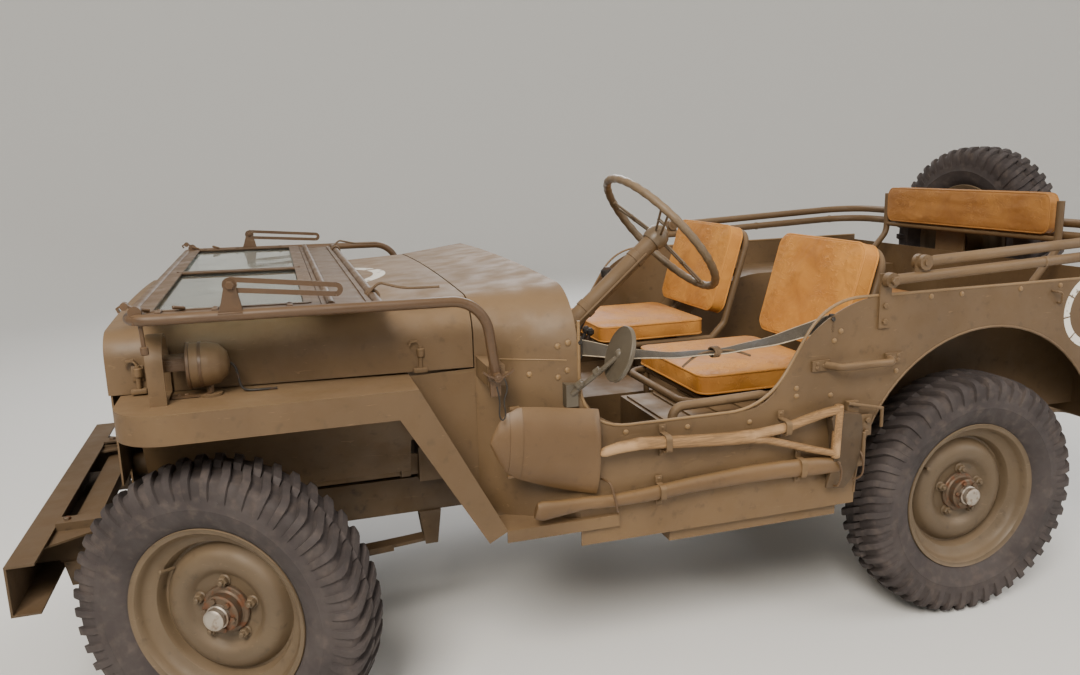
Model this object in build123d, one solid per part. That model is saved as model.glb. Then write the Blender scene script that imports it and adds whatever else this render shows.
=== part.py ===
from build123d import *
from math import cos, radians, sin
import os

# A light open four-wheel-drive army car, as an assembly of separate pieces.
# Millimetres. +X points forward, +Y to the car's left, +Z up. The origin is on
# the ground, under the middle of the car's length and width.
# The pose is the one of the reference: windscreen folded forward on the bonnet,
# front wheels turned fully to the right, hood bows folded round the tail.

# Driving dimensions
LENGTH = 3340
FRONT_OVERHANG = 505
WHEELBASE = 2032
TRACK = 1245
BODY_WIDTH = 1460
SHEET = 3
LOCK_DEG = 28

FRONT_AXLE_X = LENGTH / 2 - FRONT_OVERHANG
REAR_AXLE_X = FRONT_AXLE_X - WHEELBASE
SIDE_Y = BODY_WIDTH / 2
INNER_SIDE_Y = SIDE_Y - SHEET
SEAT_GAP = 0.3


def st(distance):
    """The X of a station this far behind the front axle."""
    return FRONT_AXLE_X - distance


# Wheels and tyres
TYRE_R = 364
TYRE_W = 165
RIM_R = 222
RIM_W = 124
BEAD_R = 204
WELL_R = 172
DISC_T = 5
HUB_R = 48
HUB_CAP_R = 30
HUB_END = 68
DRUM_R = 128
DRUM_W = 36
SPINDLE_R = 25
RUN_FIT = 0.05
WHEEL_NUT_CIRCLE_R = 70
WHEEL_NUTS = 5
WHEEL_NUT_R = 11

# Chassis frame
RAIL_Y = 338
RAIL_W = 45
MEMBER_BOTTOM = 450
MEMBER_TOP = 485
RAIL_BOTTOM = 430
RAIL_H = 100
RAIL_TOP = RAIL_BOTTOM + RAIL_H
RAIL_WALL = 5
RAIL_REAR_X = st(2625)
GUSSET_Z = 505

# Bumper
BUMPER_HALF = 570
BUMPER_BOTTOM = 400
BUMPER_TOP = 522
BUMPER_DEPTH = 62
BUMPER_WALL = 5
BUMPER_BACK_X = LENGTH / 2 - BUMPER_DEPTH
BUMPER_FACE_X = LENGTH / 2 - BUMPER_WALL
RAIL_FRONT_X = BUMPER_BACK_X - SEAT_GAP

# Axles and springs
AXLE_R = 33
DIFF_Y = -165
DIFF_R = 138
KINGPIN_Y = 525
BALL_R = 52
SHELL_CLEAR = 5
SHELL_T = 8
KINGPIN_R = 11
LEAF_W = 44
LEAF_T = 9
LEAF_FLAT = 60
LEAF_STEPS = 8
# Leaves in the stack, from and to this share of the way to the eye
LEAF_STACK = [(4, 0, 0.35), (3, 0.35, 0.55), (2, 0.55, 0.78), (1, 0.78, 1)]
SPRING_TOP_Z = TYRE_R - AXLE_R

# Body shell
FLOOR_Z = RAIL_TOP + SEAT_GAP
SILL_Z = 432
TUNNEL_HALF = 150
TUNNEL_H = 110
TUNNEL_REAR_X = st(1250)
WELL_X = (st(1538), st(1042))
WELL_Y = (373, 712)
WELL_BOTTOM = 398
TANK_TOP = 700
TAIL_BOTTOM = 490
SIDE_TOP_Z = 1000
DOOR_CUT_Z = 730
SEAM_X = st(570)
COWL_REAR_X = st(795)
TAIL_X = st(2640)
COWL_LOW_Z = 482
DASH_BOTTOM = 905
COWL_HALF_FRONT = 610
COWL_TOP_FRONT = 1052
COWL_TOP_REAR = 1074
COWL_SHOULDER_FRONT = 95
COWL_SHOULDER_REAR = 165
ARCH_X = st(2007)
ARCH_Z = 462
ARCH_R = 424
WHEELHOUSE_R = ARCH_R + 12
WHEELHOUSE_TOP = ARCH_Z + WHEELHOUSE_R
WHEELHOUSE_INNER_Y = 455

# Bonnet and grille
BONNET_FRONT_X = st(-258)
BONNET_HALF_FRONT = 522
BONNET_TOP_FRONT = 1018
BONNET_BOTTOM_FRONT = 877
BONNET_BOTTOM_REAR = 884
BONNET_SHOULDER_FRONT = 62
CROWN = 10
PANEL_GAP = 3
GRILLE_X = BONNET_FRONT_X - 8
GRILLE_T = 4
GRILLE_FOOT_Y = 396
GRILLE_SLOTS = 9
GRILLE_PITCH = 46
SLOT_W = 27
SLOT_Z = (625, 940)
LAMP_Y = 345
LAMP_Z = 795
LAMP_R = 84
MARKER_Z = 655
MARKER_R = 30

# Engine, shafts and exhaust
ENGINE_Y = (-140, 150)
SHAFT_R = 24
TRANSFER_Z = 420
DIFF_NOSE = 195
SHAFT_GAP = 2
SILENCER_R = 62

# Fenders
FENDER_TOP_Z = 876
FENDER_OUTER_Y = 741
FENDER_INNER_Y = 528
FENDER_FRONT_X = st(-232)
FENDER_REAR_X = st(412)
FENDER_CORNER_R = 115
FENDER_LIP = 66
STEP_Z = 505
STEP_FRONT_X = st(606)
STEP_REAR_X = st(892)
STEP_INNER_Y = 640

# Covered lamp on the left fender, and the hoop ahead of it
BLACKOUT_LAMP = (st(-55), 600, 948)
LAMP_GUARD_AHEAD = 138
LAMP_GUARD_HALF = 60
LAMP_GUARD_TOP = 1024
LAMP_GUARD_W = 35
LAMP_GUARD_T = 5

# Windscreen
SCREEN_TUBE_R = 12
SCREEN_Y = 744
SCREEN_PIVOT = (st(590), 890)
SCREEN_BEND = (st(568), 1069)
SCREEN_TOP = (st(-168), 1079)
SCREEN_LOW_X = st(338)
GLASS_REAR_X = st(196)
GLASS_FRONT_X = st(-140)
GLASS_T = 5

# Steering
WHEEL_HUB = (st(1173), 370, 1160)
COLUMN_TILT_DEG = 41
STEERING_R = 219
STEERING_RIM_R = 12
STEERING_SPOKES = 3
COLUMN_R = 25
COLUMN_REACH = 876
ARM_AHEAD = 155
ARM_ASIDE = 28
ARM_ROOT_IN = 6
TIE_Z = 362
TIE_R = 11
CRANK_X = st(-150)
CRANK_LOW_Z = 378
CRANK_T = 14
CRANK_SIDE_ARM = 112
PIN_R = 8
OPEN_FIT = 0.5
DRAG_Z = 419
DRAG_R = 9
DRAG_EYE_IN = 30
DRAG_EYE_W = 20
DRAG_EYE_R = 23
DRAG_BORE_R = 14
PITMAN_Y = (284, 298)
PITMAN_LEN = 220
PITMAN_DEG = 13.8
PITMAN_X = st(512)

# Seats
SEAT_IN_Y = 152
SEAT_OUT_Y = 592
CUSHION_FRONT_X = st(1188)
CUSHION_REAR_X = st(1600)
CUSHION_TOP_Z = 800
CUSHION_T = 72
BACK_LOW = (st(1606), 812)
BACK_HIGH = (st(1696), 1130)
BACK_T = 68
SEAT_TUBE_R = 12
SEAT_RAIL_R = 11
SEAT_BAR_R = 9
SEAT_FOOT_X = (st(1218), st(1500))
SEAT_EYE_R = 14
SEAT_Z = CUSHION_TOP_Z - CUSHION_T - SEAT_RAIL_R - SEAT_GAP
TIP_PIVOT = (SEAT_FOOT_X[0], FLOOR_Z + SHEET + SEAT_EYE_R + 4)
HOOP_TUCK = 22
BENCH_HALF = 398
BENCH_BACK_X = (st(2532), st(2588))
BENCH_BACK_Z = (1082, 1226)
BENCH_X = (st(2130), st(2520))
BENCH_TOP_Z = 830
BENCH_T = 80
BENCH_PIVOT = (st(2470), WHEELHOUSE_TOP + 20)

# Hood bows
BOW_R = 14
BOW_Y = 752
LOW_BOW_PIVOT = (st(1650), 1042)
LOW_BOW_TAIL = (st(2634), 1078)
HIGH_BOW_PIVOT = (st(1745), 1084)
HIGH_BOW_TAIL = (st(2634), 1120)
BOW_CORNER_R = 150

# Spare wheel
SPARE_Y = -147
SPARE_Z = 1010
SPARE_X = -LENGTH / 2 + TYRE_W / 2
CARRIER_R = 48
CARRIER_FLANGE_R = 56
CARRIER_REACH = 17.2

# Grab handles on the body sides: the bar's ends, its height and how far out it stands
HANDLE_X = (st(1477), st(1672))
HANDLE_Z = 828
HANDLE_OUT = 42
HANDLE_R = 10
HANDLE_END = 42

# Levers on the tunnel: base X, base Y, knob X, knob Y, knob Z, rod radius, knob radius
LEVERS = [(st(950), 20, st(1140), 40, 1010, 7, 20),
          (st(1060), -70, st(1120), -70, 800, 6, 13),
          (st(1060), -110, st(1120), -110, 800, 6, 13)]
PEDAL_Y = (300, 430, 520)


# Small makers of plain shapes
def block(x, y, z):
    """A box from three (low, high) pairs."""
    size = [abs(b - a) for a, b in (x, y, z)]
    mid = [(a + b) / 2 for a, b in (x, y, z)]
    return Pos(*mid) * Box(*size)


def rod(start, end, radius):
    """A round bar between two points."""
    axis = Vector(*end) - Vector(*start)
    plane = Plane(origin=start, z_dir=axis)
    return extrude(plane * Circle(radius), axis.length)


def disc_y(x, y, z, radius, width):
    """A cylinder along Y, centred on a point."""
    return Pos(x, y, z) * Rot(90, 0, 0) * Cylinder(radius, width)


def disc_x(x, y, z, radius, width):
    """A cylinder along X, centred on a point."""
    return Pos(x, y, z) * Rot(0, 90, 0) * Cylinder(radius, width)


def disc_z(x, y, z, radius, width):
    """A cylinder along Z, centred on a point."""
    return Pos(x, y, z) * Cylinder(radius, width)


def bent_tube(points, radius, bends):
    """A round bar along straight runs joined by arcs, one bend radius for each corner."""
    path = FilletPolyline(*points, radius=bends)
    plane = Plane(origin=path @ 0, z_dir=path % 0)
    return sweep(plane * Circle(radius), path=path)


def slab_xz(points, y_low, y_high):
    """An outline drawn in X and Z, as thick as from one Y to the other."""
    face = make_face(Polyline(*[(x, y_low, z) for x, z in points], close=True))
    return extrude(face, y_high - y_low, dir=(0, 1, 0))


def slab_xy(points, z_low, z_high):
    """An outline drawn in X and Y, as thick as from one Z to the other."""
    face = make_face(Polyline(*[(x, y, z_low) for x, y in points], close=True))
    return extrude(face, z_high - z_low, dir=(0, 0, 1))


def slab_yz(points, x_low, x_high):
    """An outline drawn in Y and Z, as thick as from one X to the other."""
    face = make_face(Polyline(*[(x_low, y, z) for y, z in points], close=True))
    return extrude(face, x_high - x_low, dir=(1, 0, 0))


def revolve_y(profile, x, y, z):
    """A turned solid about a Y axis, from (radius, offset along Y) corners."""
    face = make_face(Polyline(*[(r, a, 0) for r, a in profile], close=True))
    return Pos(x, y, z) * revolve(face, axis=Axis.Y)


def steered(shape, side):
    """A piece drawn with the wheels straight ahead, turned to the right-hand lock."""
    pivot = (FRONT_AXLE_X, side * KINGPIN_Y, 0)
    return Pos(*pivot) * Rot(0, 0, -LOCK_DEG) * Pos(-pivot[0], -pivot[1], 0) * shape


# Wheels
def tyre_profile():
    """Half round the tyre's section, mirrored: tread, shoulder, sidewall and bead."""
    half = TYRE_W / 2
    outer = [(TYRE_R, 0.66 * half), (TYRE_R - 14, 0.93 * half), (TYRE_R - 62, half),
             (TYRE_R - 104, 0.94 * half), (BEAD_R + 20, RIM_W / 2 - 9), (BEAD_R + SEAT_GAP, RIM_W / 2 - 13)]
    inner = [(BEAD_R + SEAT_GAP, RIM_W / 2 - 32), (TYRE_R - 60, 0.76 * half), (TYRE_R - 34, 0.5 * half)]
    right = outer + inner
    left = [(r, -a) for r, a in reversed(right)]
    return right + left


def tyre(x, y, z):
    return revolve_y(tyre_profile(), x, y, z)


def rim_profile():
    """Section of the steel wheel: rim, well and dished disc, outboard side positive."""
    half = RIM_W / 2
    return [(RIM_R, half), (RIM_R, half - 4), (BEAD_R + 6, half - 7), (BEAD_R, half - 12),
            (BEAD_R - 6, 26), (WELL_R, 18), (WELL_R, -20), (BEAD_R - 6, -30), (BEAD_R, -half + 12),
            (BEAD_R + 6, -half + 7), (RIM_R, -half + 4), (RIM_R, -half), (RIM_R - 4, -half),
            (BEAD_R - 1, -half + 2), (BEAD_R - 5, -34), (WELL_R - 4, -24), (WELL_R - 4, 2),
            (132, -10), (108, -4), (92, 16), (HUB_R, 18), (HUB_R, 18 + DISC_T), (94, 21), (112, 1),
            (132, -4), (WELL_R - 4, 8), (WELL_R - 4, 22), (BEAD_R - 8, 32), (BEAD_R - 1, half - 2),
            (RIM_R - 4, half)]


def bare_wheel(x, y, z, side):
    """The pressed steel wheel alone, with its round centre hole."""
    return revolve_y([(r, side * a) for r, a in rim_profile()], x, y, z)


def wheel_nuts(x, y, z, side):
    """The nuts round a wheel's centre."""
    turns = [radians(90 + i * 360 / WHEEL_NUTS) for i in range(WHEEL_NUTS)]
    return [disc_y(x + WHEEL_NUT_CIRCLE_R * cos(turn), y + side * 25, z + WHEEL_NUT_CIRCLE_R * sin(turn),
                   WHEEL_NUT_R, 26) for turn in turns]


def wheel(x, y, z, side):
    """A dished steel wheel with its hub, brake drum and nuts; side is +1 on the left."""
    body = bare_wheel(x, y, z, side)
    hub = revolve_y([(SPINDLE_R + RUN_FIT, side * -24), (SPINDLE_R + RUN_FIT, side * 42),
                     (0, side * 42), (0, side * HUB_END), (HUB_CAP_R - 6, side * HUB_END),
                     (HUB_CAP_R, side * 54), (HUB_CAP_R, side * 34), (HUB_R, side * 30),
                     (HUB_R, side * -24)], x, y, z)
    drum = revolve_y([(HUB_R - 2, side * 10), (90, side * 10), (90, side * -18), (DRUM_R, side * -22),
                      (DRUM_R, side * (-22 - DRUM_W)), (DRUM_R - 6, side * (-22 - DRUM_W)),
                      (DRUM_R - 6, side * -28), (84, side * -24), (84, side * 4),
                      (HUB_R - 2, side * 4)], x, y, z)
    solid = body + hub + drum
    for nut in wheel_nuts(x, y, z, side):
        solid += nut
    return solid


# Wheel positions: name, X, side, whether it steers
WHEELS = [("fl", FRONT_AXLE_X, 1, True), ("fr", FRONT_AXLE_X, -1, True),
          ("rl", REAR_AXLE_X, 1, False), ("rr", REAR_AXLE_X, -1, False)]


def placed_wheel(name):
    for wheel_name, x, side, steers in WHEELS:
        if wheel_name == name:
            solid = wheel(x, side * TRACK / 2, TYRE_R, side)
            return steered(solid, side) if steers else solid


def placed_tyre(name):
    for wheel_name, x, side, steers in WHEELS:
        if wheel_name == name:
            solid = tyre(x, side * TRACK / 2, TYRE_R)
            return steered(solid, side) if steers else solid


def spare_pose(shape):
    """From a wheel drawn at the origin along Y to the spare behind the tail panel."""
    return Pos(SPARE_X, SPARE_Y, SPARE_Z) * Rot(0, 0, 90) * shape


def spare_wheel():
    solid = bare_wheel(0, 0, 0, 1)
    for nut in wheel_nuts(0, 0, 0, 1):
        solid += nut
    return spare_pose(solid)


def spare_tyre():
    return spare_pose(tyre(0, 0, 0))


# Chassis
def rail(side):
    """One channel rail, open towards the middle of the car."""
    web = side * (RAIL_Y + RAIL_W / 2)
    far = side * (RAIL_Y - RAIL_W / 2)
    whole = block((RAIL_REAR_X, RAIL_FRONT_X), (far, web), (RAIL_BOTTOM, RAIL_TOP))
    hollow = block((RAIL_REAR_X, RAIL_FRONT_X), (far - side, web - side * RAIL_WALL),
                   (RAIL_BOTTOM + RAIL_WALL, RAIL_TOP - RAIL_WALL))
    return whole - hollow


# Cross members: name, station behind the front axle, width along X
CROSS_MEMBERS = [("front", -400, 60), ("steering", -150, 80), ("engine", 190, 70),
                 ("gearbox", 700, 90), ("middle", 1450, 60), ("spring", 2210, 60), ("tail", 2595, 60)]


def frame_rails():
    """Both rails with their cross members, bumper gussets and the steering crank's post."""
    solid = rail(1) + rail(-1)
    reach = RAIL_Y + RAIL_W / 2 - 1
    for _, station, width in CROSS_MEMBERS:
        x = st(station)
        solid += block((x - width / 2, x + width / 2), (-reach, reach), (MEMBER_BOTTOM, MEMBER_TOP))
    solid += crank_post()
    tip_x = BUMPER_FACE_X - SEAT_GAP
    for side in (1, -1):
        # the rail's horn inside the bumper, and the plate gusset beside it
        solid += block((RAIL_FRONT_X - 60, tip_x), (side * (RAIL_Y - RAIL_W / 2), side * (RAIL_Y + RAIL_W / 2)),
                       (RAIL_BOTTOM + RAIL_WALL, BUMPER_TOP - BUMPER_WALL - SEAT_GAP))
        inner, outer = side * (RAIL_Y - 60), side * (RAIL_Y + 120)
        solid += slab_xy([(tip_x, inner), (tip_x, outer), (tip_x - 40, outer), (tip_x - 190, side * (RAIL_Y + 20)),
                          (tip_x - 190, side * (RAIL_Y - 20)), (tip_x - 60, inner)],
                         GUSSET_Z, GUSSET_Z + RAIL_WALL)
    return solid


def front_bumper():
    """An open channel, its back towards the car."""
    whole = block((BUMPER_BACK_X, LENGTH / 2), (-BUMPER_HALF, BUMPER_HALF), (BUMPER_BOTTOM, BUMPER_TOP))
    hollow = block((BUMPER_BACK_X - 1, BUMPER_FACE_X), (-BUMPER_HALF - 1, BUMPER_HALF + 1),
                   (BUMPER_BOTTOM + BUMPER_WALL, BUMPER_TOP - BUMPER_WALL))
    return whole - hollow


# Leaf springs: name, axle X, front eye (X, Z), rear eye (X, Z)
SPRINGS = [("front", FRONT_AXLE_X, (st(-405), 384), (st(480), 350)),
           ("rear", REAR_AXLE_X, (st(1505), 384), (st(2560), 384))]


def leaf_height(x, axle_x, eye_x, eye_z):
    """The top of the longest leaf at this X: flat under the axle, then rising to the eye."""
    share = max(0, abs(x - axle_x) - LEAF_FLAT) / (abs(eye_x - axle_x) - LEAF_FLAT)
    return SPRING_TOP_Z + (eye_z - SPRING_TOP_Z) * share * share


def leaf_spring(axle_x, front_eye, rear_eye, y):
    """A stack of curved leaves under the axle tube in one stepped outline, with an eye at each end."""
    top, low = [], []
    for eye_x, eye_z in (rear_eye, front_eye):
        reach = eye_x - axle_x
        upper = [(axle_x + reach * i / LEAF_STEPS,
                  leaf_height(axle_x + reach * i / LEAF_STEPS, axle_x, eye_x, eye_z)) for i in range(LEAF_STEPS + 1)]
        lower = []
        for leaves, share_in, share_out in LEAF_STACK:
            for share in (share_in, (share_in + share_out) / 2, share_out):
                x = axle_x + reach * share
                lower.append((x, leaf_height(x, axle_x, eye_x, eye_z) - leaves * LEAF_T))
        top.append(upper)
        low.append(lower)
    outline = top[0][::-1] + top[1][1:] + low[1][::-1] + low[0][1:]
    solid = slab_xz(outline, -LEAF_W / 2, LEAF_W / 2)
    for eye_x, eye_z in (front_eye, rear_eye):
        solid += disc_y(eye_x, 0, eye_z, 18, LEAF_W)
        solid -= disc_y(eye_x, 0, eye_z, 9 + SEAT_GAP, LEAF_W + 2)
    # clamp plate below the axle
    low_z = SPRING_TOP_Z - LEAF_STACK[0][0] * LEAF_T
    solid += block((axle_x - 55, axle_x + 55), (-LEAF_W / 2 - 14, LEAF_W / 2 + 14), (low_z - 10, low_z + 2))
    return Pos(0, y, 0) * solid


def springs():
    return [leaf_spring(axle_x, front, rear, side * RAIL_Y)
            for _, axle_x, front, rear in SPRINGS for side in (1, -1)]


def spring_hangers():
    """The plate pairs between the frame rails and the spring eyes."""
    pieces = []
    plate = 7
    for _, _, front, rear in SPRINGS:
        for eye_x, eye_z in (front, rear):
            for side in (1, -1):
                mid = side * RAIL_Y
                piece = disc_y(eye_x, mid, eye_z, 9, LEAF_W + 2 * plate + 1)
                for flank in (1, -1):
                    near = mid + flank * (LEAF_W / 2 + 0.5)
                    far = near + flank * plate
                    piece += slab_xz([(eye_x - 17, eye_z - 17), (eye_x + 17, eye_z - 17),
                                      (eye_x + 30, RAIL_BOTTOM), (eye_x - 30, RAIL_BOTTOM)],
                                     min(near, far), max(near, far))
                pieces.append(piece)
    return pieces


def diff_case(x, nose):
    """The round differential case with its input nose, towards the middle of the car."""
    case = Pos(x, DIFF_Y, TYRE_R) * Sphere(DIFF_R - 22)
    ring = disc_y(x, DIFF_Y + 6, TYRE_R, DIFF_R, 26)
    cone = Pos(x + nose * 120, DIFF_Y, TYRE_R + 10) * Rot(0, 90 * nose, 0) * Cone(78, 40, 150)
    return case + ring + cone


def front_axle():
    x = FRONT_AXLE_X
    solid = disc_y(x, 0, TYRE_R, AXLE_R, 2 * KINGPIN_Y) + diff_case(x, -1)
    for side in (1, -1):
        solid += Pos(x, side * KINGPIN_Y, TYRE_R) * Sphere(BALL_R)
        solid += disc_y(x, side * (KINGPIN_Y - BALL_R - 18), TYRE_R, BALL_R - 14, 18)
        solid += block((x - 50, x + 50), (side * RAIL_Y - 30, side * RAIL_Y + 30),
                       (SPRING_TOP_Z + SEAT_GAP, SPRING_TOP_Z + 20))
        solid -= disc_z(x, side * KINGPIN_Y, TYRE_R, KINGPIN_R, 4 * BALL_R)
    return solid


def rear_axle():
    x = REAR_AXLE_X
    half = TRACK / 2
    solid = disc_y(x, 0, TYRE_R, AXLE_R, 2 * (half - 70)) + diff_case(x, 1)
    solid += disc_y(x, 0, TYRE_R, SPINDLE_R, 2 * (half + 38))
    for side in (1, -1):
        solid += disc_y(x, side * (half - 68), TYRE_R, DRUM_R - 2, 8)
        solid += block((x - 50, x + 50), (side * RAIL_Y - 30, side * RAIL_Y + 30),
                       (SPRING_TOP_Z + SEAT_GAP, SPRING_TOP_Z + 20))
    return solid


def knuckle(side):
    """A steering knuckle: round shell over the axle's ball, spindle, plate and arm."""
    x, y = FRONT_AXLE_X, side * KINGPIN_Y
    inner = BALL_R + SHELL_CLEAR
    outer = inner + SHELL_T
    solid = Pos(x, y, TYRE_R) * (Sphere(outer) - Sphere(inner))
    cut = block((x - 200, x + 200), (y - side * 200, y - side * 8), (TYRE_R - 200, TYRE_R + 200))
    solid -= cut
    for way in (1, -1):
        pin_top = TYRE_R + way * (outer + 8)
        pin_low = TYRE_R + way * (BALL_R - 40)
        solid += disc_z(x, y, (pin_top + pin_low) / 2, KINGPIN_R - RUN_FIT, abs(pin_top - pin_low))
        solid += disc_z(x, y, TYRE_R + way * (inner + SHELL_T / 2 + 2), 30, SHELL_T + 4)
    spindle_end = TRACK / 2 + 38
    root = KINGPIN_Y + outer - 12
    solid += disc_y(x, side * (root + spindle_end) / 2, TYRE_R, SPINDLE_R, spindle_end - root)
    # brake backing plate inside the drum
    plate_y = TRACK / 2 - 22 - DRUM_W + 8
    solid += disc_y(x, side * plate_y, TYRE_R, DRUM_R - 12, 5)
    solid -= Pos(x, y, TYRE_R) * Sphere(inner) - disc_z(x, y, TYRE_R, KINGPIN_R - RUN_FIT, 300)
    # steering arm ahead of the axle, level with the centre crank
    plate_low, plate_high = CRANK_LOW_Z, CRANK_LOW_Z + CRANK_T
    tip = (x + ARM_AHEAD, side * (KINGPIN_Y + ARM_ASIDE))
    solid += flat_arm((x + outer - 4, y - side * ARM_ROOT_IN), tip, plate_low, plate_high)
    solid -= disc_z(tip[0], tip[1], CRANK_LOW_Z, PIN_R + OPEN_FIT, 6 * CRANK_T)
    return steered(solid, side)


def flat_arm(start, end, z_low, z_high):
    """A flat bar with a round end, between two points in X and Y."""
    dx, dy = end[0] - start[0], end[1] - start[1]
    length = (dx * dx + dy * dy) ** 0.5
    sx, sy = -dy / length * 16, dx / length * 16
    bar = slab_xy([(start[0] + sx, start[1] + sy), (end[0] + sx, end[1] + sy),
                   (end[0] - sx, end[1] - sy), (start[0] - sx, start[1] - sy)], z_low, z_high)
    return bar + disc_z(end[0], end[1], (z_low + z_high) / 2, 18, z_high - z_low)


def turned_point(centre, dx, dy):
    """A point drawn with the wheels straight ahead, after turning to the right-hand lock."""
    turn = radians(-LOCK_DEG)
    return (centre[0] + dx * cos(turn) - dy * sin(turn), centre[1] + dx * sin(turn) + dy * cos(turn))


CRANK = (CRANK_X, 0)
CRANK_DRAG = turned_point(CRANK, 0, CRANK_SIDE_ARM)


def centre_crank():
    """The flat crank on the frame that moves both tie rods."""
    low, high = CRANK_LOW_Z, CRANK_LOW_Z + CRANK_T
    tips = [turned_point(CRANK, ARM_AHEAD, side * ARM_ASIDE) for side in (1, -1)] + [CRANK_DRAG]
    solid = disc_z(CRANK_X, 0, (low + high) / 2, 26, CRANK_T)
    for tip in tips:
        solid += flat_arm(CRANK, tip, low, high)
    for tip in tips:
        solid -= disc_z(tip[0], tip[1], low, PIN_R, 6 * CRANK_T)
    return solid - disc_z(CRANK_X, 0, low, PIN_R + 4, 6 * CRANK_T)


def crank_post():
    """The pin under the steering cross member that the centre crank turns on."""
    low, high = CRANK_LOW_Z, CRANK_LOW_Z + CRANK_T
    pin = disc_z(CRANK_X, 0, (low - 8 + MEMBER_BOTTOM) / 2, PIN_R + 4 - RUN_FIT, MEMBER_BOTTOM - low + 8)
    head = disc_z(CRANK_X, 0, low - SEAT_GAP - 4, 20, 8)
    collar = disc_z(CRANK_X, 0, (high + SEAT_GAP + MEMBER_BOTTOM) / 2, 22, MEMBER_BOTTOM - high - SEAT_GAP)
    return pin + head + collar


def tie_rod(side):
    """The short rod from the centre crank out to one knuckle arm, pinned from below."""
    far = turned_point((FRONT_AXLE_X, side * KINGPIN_Y), ARM_AHEAD, side * ARM_ASIDE)
    near = turned_point(CRANK, ARM_AHEAD, side * ARM_ASIDE)
    solid = rod((near[0], near[1], TIE_Z), (far[0], far[1], TIE_Z), TIE_R)
    eye_top = CRANK_LOW_Z - SEAT_GAP
    for px, py in (near, far):
        solid += disc_z(px, py, eye_top - 12, 16, 24)
        solid += disc_z(px, py, eye_top + CRANK_T / 2, PIN_R - RUN_FIT, CRANK_T)
    return solid


def pitman_pivot_z():
    return DRAG_Z + PITMAN_LEN * cos(radians(PITMAN_DEG))


def pitman_arm():
    """The arm that hangs from the steering box and works the drag link."""
    x, z = PITMAN_X, pitman_pivot_z()
    lean = radians(PITMAN_DEG)
    tip_x, tip_z = x + PITMAN_LEN * sin(lean), DRAG_Z
    low, high = PITMAN_Y
    wx, wz = 14 * cos(lean), 14 * sin(lean)
    solid = slab_xz([(x - wx, z - wz), (x + wx, z + wz), (tip_x + wx, tip_z + wz), (tip_x - wx, tip_z - wz)],
                    low, high)
    mid = (low + high) / 2
    solid += disc_y(x, mid, z, 20, high - low) + disc_y(tip_x, mid, tip_z, 15, high - low)
    solid -= disc_y(x, mid, z, PIN_R + 2, 60)
    return solid + disc_y(tip_x, low - 22, tip_z, 6, 46)


def drag_link():
    """The rod from the centre crank back to the pitman arm's pin, which its rear eye surrounds."""
    tip_x = PITMAN_X + PITMAN_LEN * sin(radians(PITMAN_DEG))
    eye_y = PITMAN_Y[0] - DRAG_EYE_IN
    px, py = CRANK_DRAG
    solid = rod((px, py, DRAG_Z), (tip_x + DRAG_BORE_R + 3, eye_y, DRAG_Z), DRAG_R)
    solid += disc_y(tip_x, eye_y, DRAG_Z, DRAG_EYE_R, DRAG_EYE_W)
    solid -= disc_y(tip_x, eye_y, DRAG_Z, DRAG_BORE_R, 3 * DRAG_EYE_W)
    # the boss stands higher than the rod
    boss_low, boss_high = CRANK_LOW_Z + CRANK_T + SEAT_GAP, DRAG_Z + DRAG_R + 3
    solid += disc_z(px, py, (boss_low + boss_high) / 2, 15, boss_high - boss_low)
    return solid + disc_z(px, py, boss_low - CRANK_T / 2, PIN_R - RUN_FIT, CRANK_T)


# Body shell
def cowl_section(x, half, top, shoulder, bottom, inset=0):
    """A closed outline in Y and Z: two sides, two round shoulders and a slightly crowned top."""
    w, t, r = half - inset, top - inset, shoulder - inset
    k = r * (1 - cos(radians(45)))
    lines = [
        Line((x, -w, bottom), (x, -w, t - r)),
        ThreePointArc((x, -w, t - r), (x, -w + k, t - k), (x, -w + r, t)),
        ThreePointArc((x, -w + r, t), (x, 0, t + CROWN), (x, w - r, t)),
        ThreePointArc((x, w - r, t), (x, w - k, t - k), (x, w, t - r)),
        Line((x, w, t - r), (x, w, bottom)),
        Line((x, w, bottom), (x, -w, bottom)),
    ]
    return make_face(lines)


def cowl_half(x):
    """Half the scuttle's outside width at this X."""
    share = (x - COWL_REAR_X) / (SEAM_X - COWL_REAR_X)
    return SIDE_Y + share * (COWL_HALF_FRONT - SIDE_Y)


def cowl_slice(x, bottom, inset):
    """The scuttle's outline at this X, between its rear and front shapes."""
    share = (x - COWL_REAR_X) / (SEAM_X - COWL_REAR_X)
    top = COWL_TOP_REAR + share * (COWL_TOP_FRONT - COWL_TOP_REAR)
    shoulder = COWL_SHOULDER_REAR + share * (COWL_SHOULDER_FRONT - COWL_SHOULDER_REAR)
    return cowl_section(x, cowl_half(x), top, shoulder, bottom, inset)


def cowl_core(rear_x, front_x, bottom, inset):
    """The scuttle's outside as one full body, drawn in by the inset."""
    return loft([cowl_slice(front_x, bottom, inset), cowl_slice(rear_x, bottom, inset)], ruled=True)


def clear_of_cowl(solid):
    """Trims a piece that is fastened to the scuttle so that it meets its outside."""
    return solid - cowl_core(COWL_REAR_X, SEAM_X + PANEL_GAP, SILL_Z - 100, -SEAT_GAP)


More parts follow.
